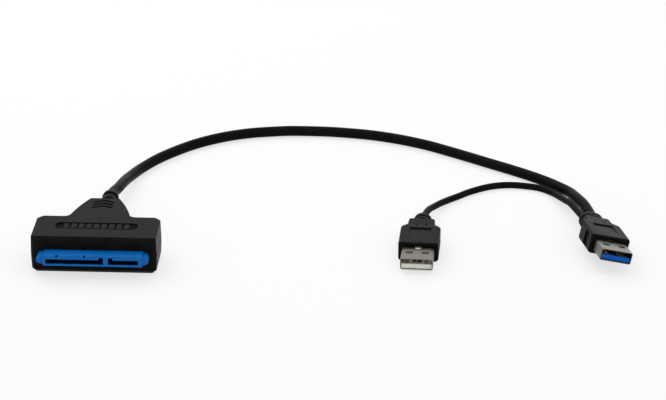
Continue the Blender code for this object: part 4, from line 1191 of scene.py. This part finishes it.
steel = {
    "width": 0.0120, "height": 0.0045, "sheet": 0.0003, "corner": 0.0007, "out": 0.0106, "inside": 0.0060,
    "windowSize": 0.0025, "windowLength": 0.0020, "windowSpan": 0.0030, "windowFromTip": 0.0056,
    "windowCorner": 0.00025, "notchWidth": 0.0027, "notchTaper": 0.0006, "notchLength": 0.0018,
    "rim": 0.00012, "seamWidth": 0.00008, "seamDepth": 0.00018,
    "cuts": ((-0.004, -0.001), (0.001, 0.004)),    # heights of what cuts the lower and the upper sheet
}


def plugSteel(name, place, node):  # one folded sheet with latch windows, a root notch and a seam underneath
    half = steel["width"] / 2
    tall = steel["height"] / 2
    piece = block(name, (-half, -steel["out"], -tall), (half, steel["inside"], tall))
    pickEdges(piece, runsAlong(1))
    bevelEdges(steel["corner"], 6)
    hollow = block("hollow", (steel["sheet"] - half, -steel["out"] - past, steel["sheet"] - tall),
                   (half - steel["sheet"], steel["inside"] + past, tall - steel["sheet"]))
    pickEdges(hollow, runsAlong(1))
    bevelEdges(steel["corner"] - steel["sheet"], 6)
    carve(piece, [hollow])
    pickSharp(piece, 60.0, lambda a, b: near(a.y, -steel["out"]) and near(b.y, -steel["out"]))
    bevelEdges(steel["rim"], 3)
    middle = steel["windowFromTip"] - steel["out"]
    windows = []
    for side in (-1, 1):
        for low, high in steel["cuts"]:
            window = box("window", span(side * steel["windowSpan"], steel["windowSize"]),
                         span(middle, steel["windowLength"]), (low, high))
            pickEdges(window, runsAlong(2))
            bevelEdges(steel["windowCorner"], 3)
            windows.append(window)
    notch = box("notch", span(0.0, steel["notchWidth"]), (-steel["notchLength"], fit), steel["cuts"][1])
    pickFaces(notch, lambda centre, normal: normal.y < -0.9)
    grow((1 - 2 * steel["notchTaper"] / steel["notchWidth"], 1.0, 1.0), (0.0, 0.0, 0.0))
    objectMode()
    seam = box("seam", span(0.0, steel["seamWidth"]), (-steel["out"] - past, steel["inside"] + past),
               (-tall - past, steel["seamDepth"] - tall))
    carve(piece, [together(windows, "windows"), notch, seam])
    pickSharp(piece, 60.0, lambda a, b: near(abs(a.z), tall) and near(abs(b.z), tall)
              and min(a.y, b.y) > reach - steel["out"] and max(a.y, b.y) < steel["inside"] - slack
              and min(abs(a.x), abs(b.x)) > steel["seamWidth"])
    bevelEdges(body["fineEdge"], 2)
    shadeSmooth(piece)
    moveTo(piece, place)
    return dress(piece, "tin_steel", [node])


tongue = {
    "gap": 0.00004, "sheet": 0.0019, "setBack": 0.0005, "base": 0.0020, "nose": 0.00035, "edge": 0.00012,
    "padPlaces": (-0.0035, -0.0010, 0.0010, 0.0035), "padWidth": 0.0011, "padFromTip": 0.0011,
    "padLength": 0.0049, "padMargin": 0.00012, "padDepth": 0.00012,
    "drop3": 0.0009, "drop2": 0.0,    # how far the base stays below the steel, behind the notch
}


def plugTongue(name, place, slotName, node, baseDrop):
    half = steel["width"] / 2 - steel["sheet"] - tongue["gap"]
    low = steel["sheet"] + tongue["gap"] - steel["height"] / 2
    high = -low
    level = low + tongue["sheet"]
    front = tongue["setBack"] - steel["out"]
    piece = block(name, (-half, front, low), (half, steel["inside"], level))
    pickEdges(piece, lambda a, b: near(a.y, front) and near(b.y, front) and near(a.z, b.z))
    bevelEdges(tongue["nose"], 3)
    base = block("base", (-half, -tongue["base"], low), (half, steel["inside"], high - baseDrop))
    carve(piece, [base], "UNION")
    margin = tongue["padMargin"]
    start = front - tongue["setBack"] + tongue["padFromTip"] - margin
    along = (start, start + tongue["padLength"] + 2 * margin)
    up = (level - tongue["padDepth"], level + past)
    slots = [box("padSlot", span(spot, tongue["padWidth"] + 2 * margin), along, up)
             for spot in tongue["padPlaces"]]
    carve(piece, [together(slots, "padSlots")])
    shadeSmooth(piece)
    moveTo(piece, place)
    return dress(piece, slotName, [node])


def usbPlug(label, place, tailWidth, slotName, cadName, baseDrop):
    made = plugBody(label + "Body", tailWidth, place, cadName + "_overmould")
    shell = plugSteel(label + "Steel", place, cadName + "_shell")
    lip = plugTongue(label + "Tongue", place, slotName, cadName + "_tongue", baseDrop)
    print(label, "modelled")
    return [made, shell, lip]


def keptPieces(label):  # contacts and inner mould, which stay from the frame
    return [node for name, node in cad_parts.items()
            if name.startswith((label + "_contact", label + "_inner_mould"))]


usb3Pieces = usbPlug("usb3", place3, plug["tailWidth3"], "blue_tongue", "usb3", tongue["drop3"])
usb2Pieces = usbPlug("usb2", place2, plug["tailWidth2"], "ivory_tongue", "usb2", tongue["drop2"])

usb3Pieces + keptPieces("usb3")
usb2Pieces + keptPieces("usb2")


# what stays from the frame gets its finish

for name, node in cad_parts.items():
    for slot in node.material_slots:
        plain = slot.material.name.split(".")[0] if slot.material else ""
        if plain in looks:
            slot.material = looks[plain]
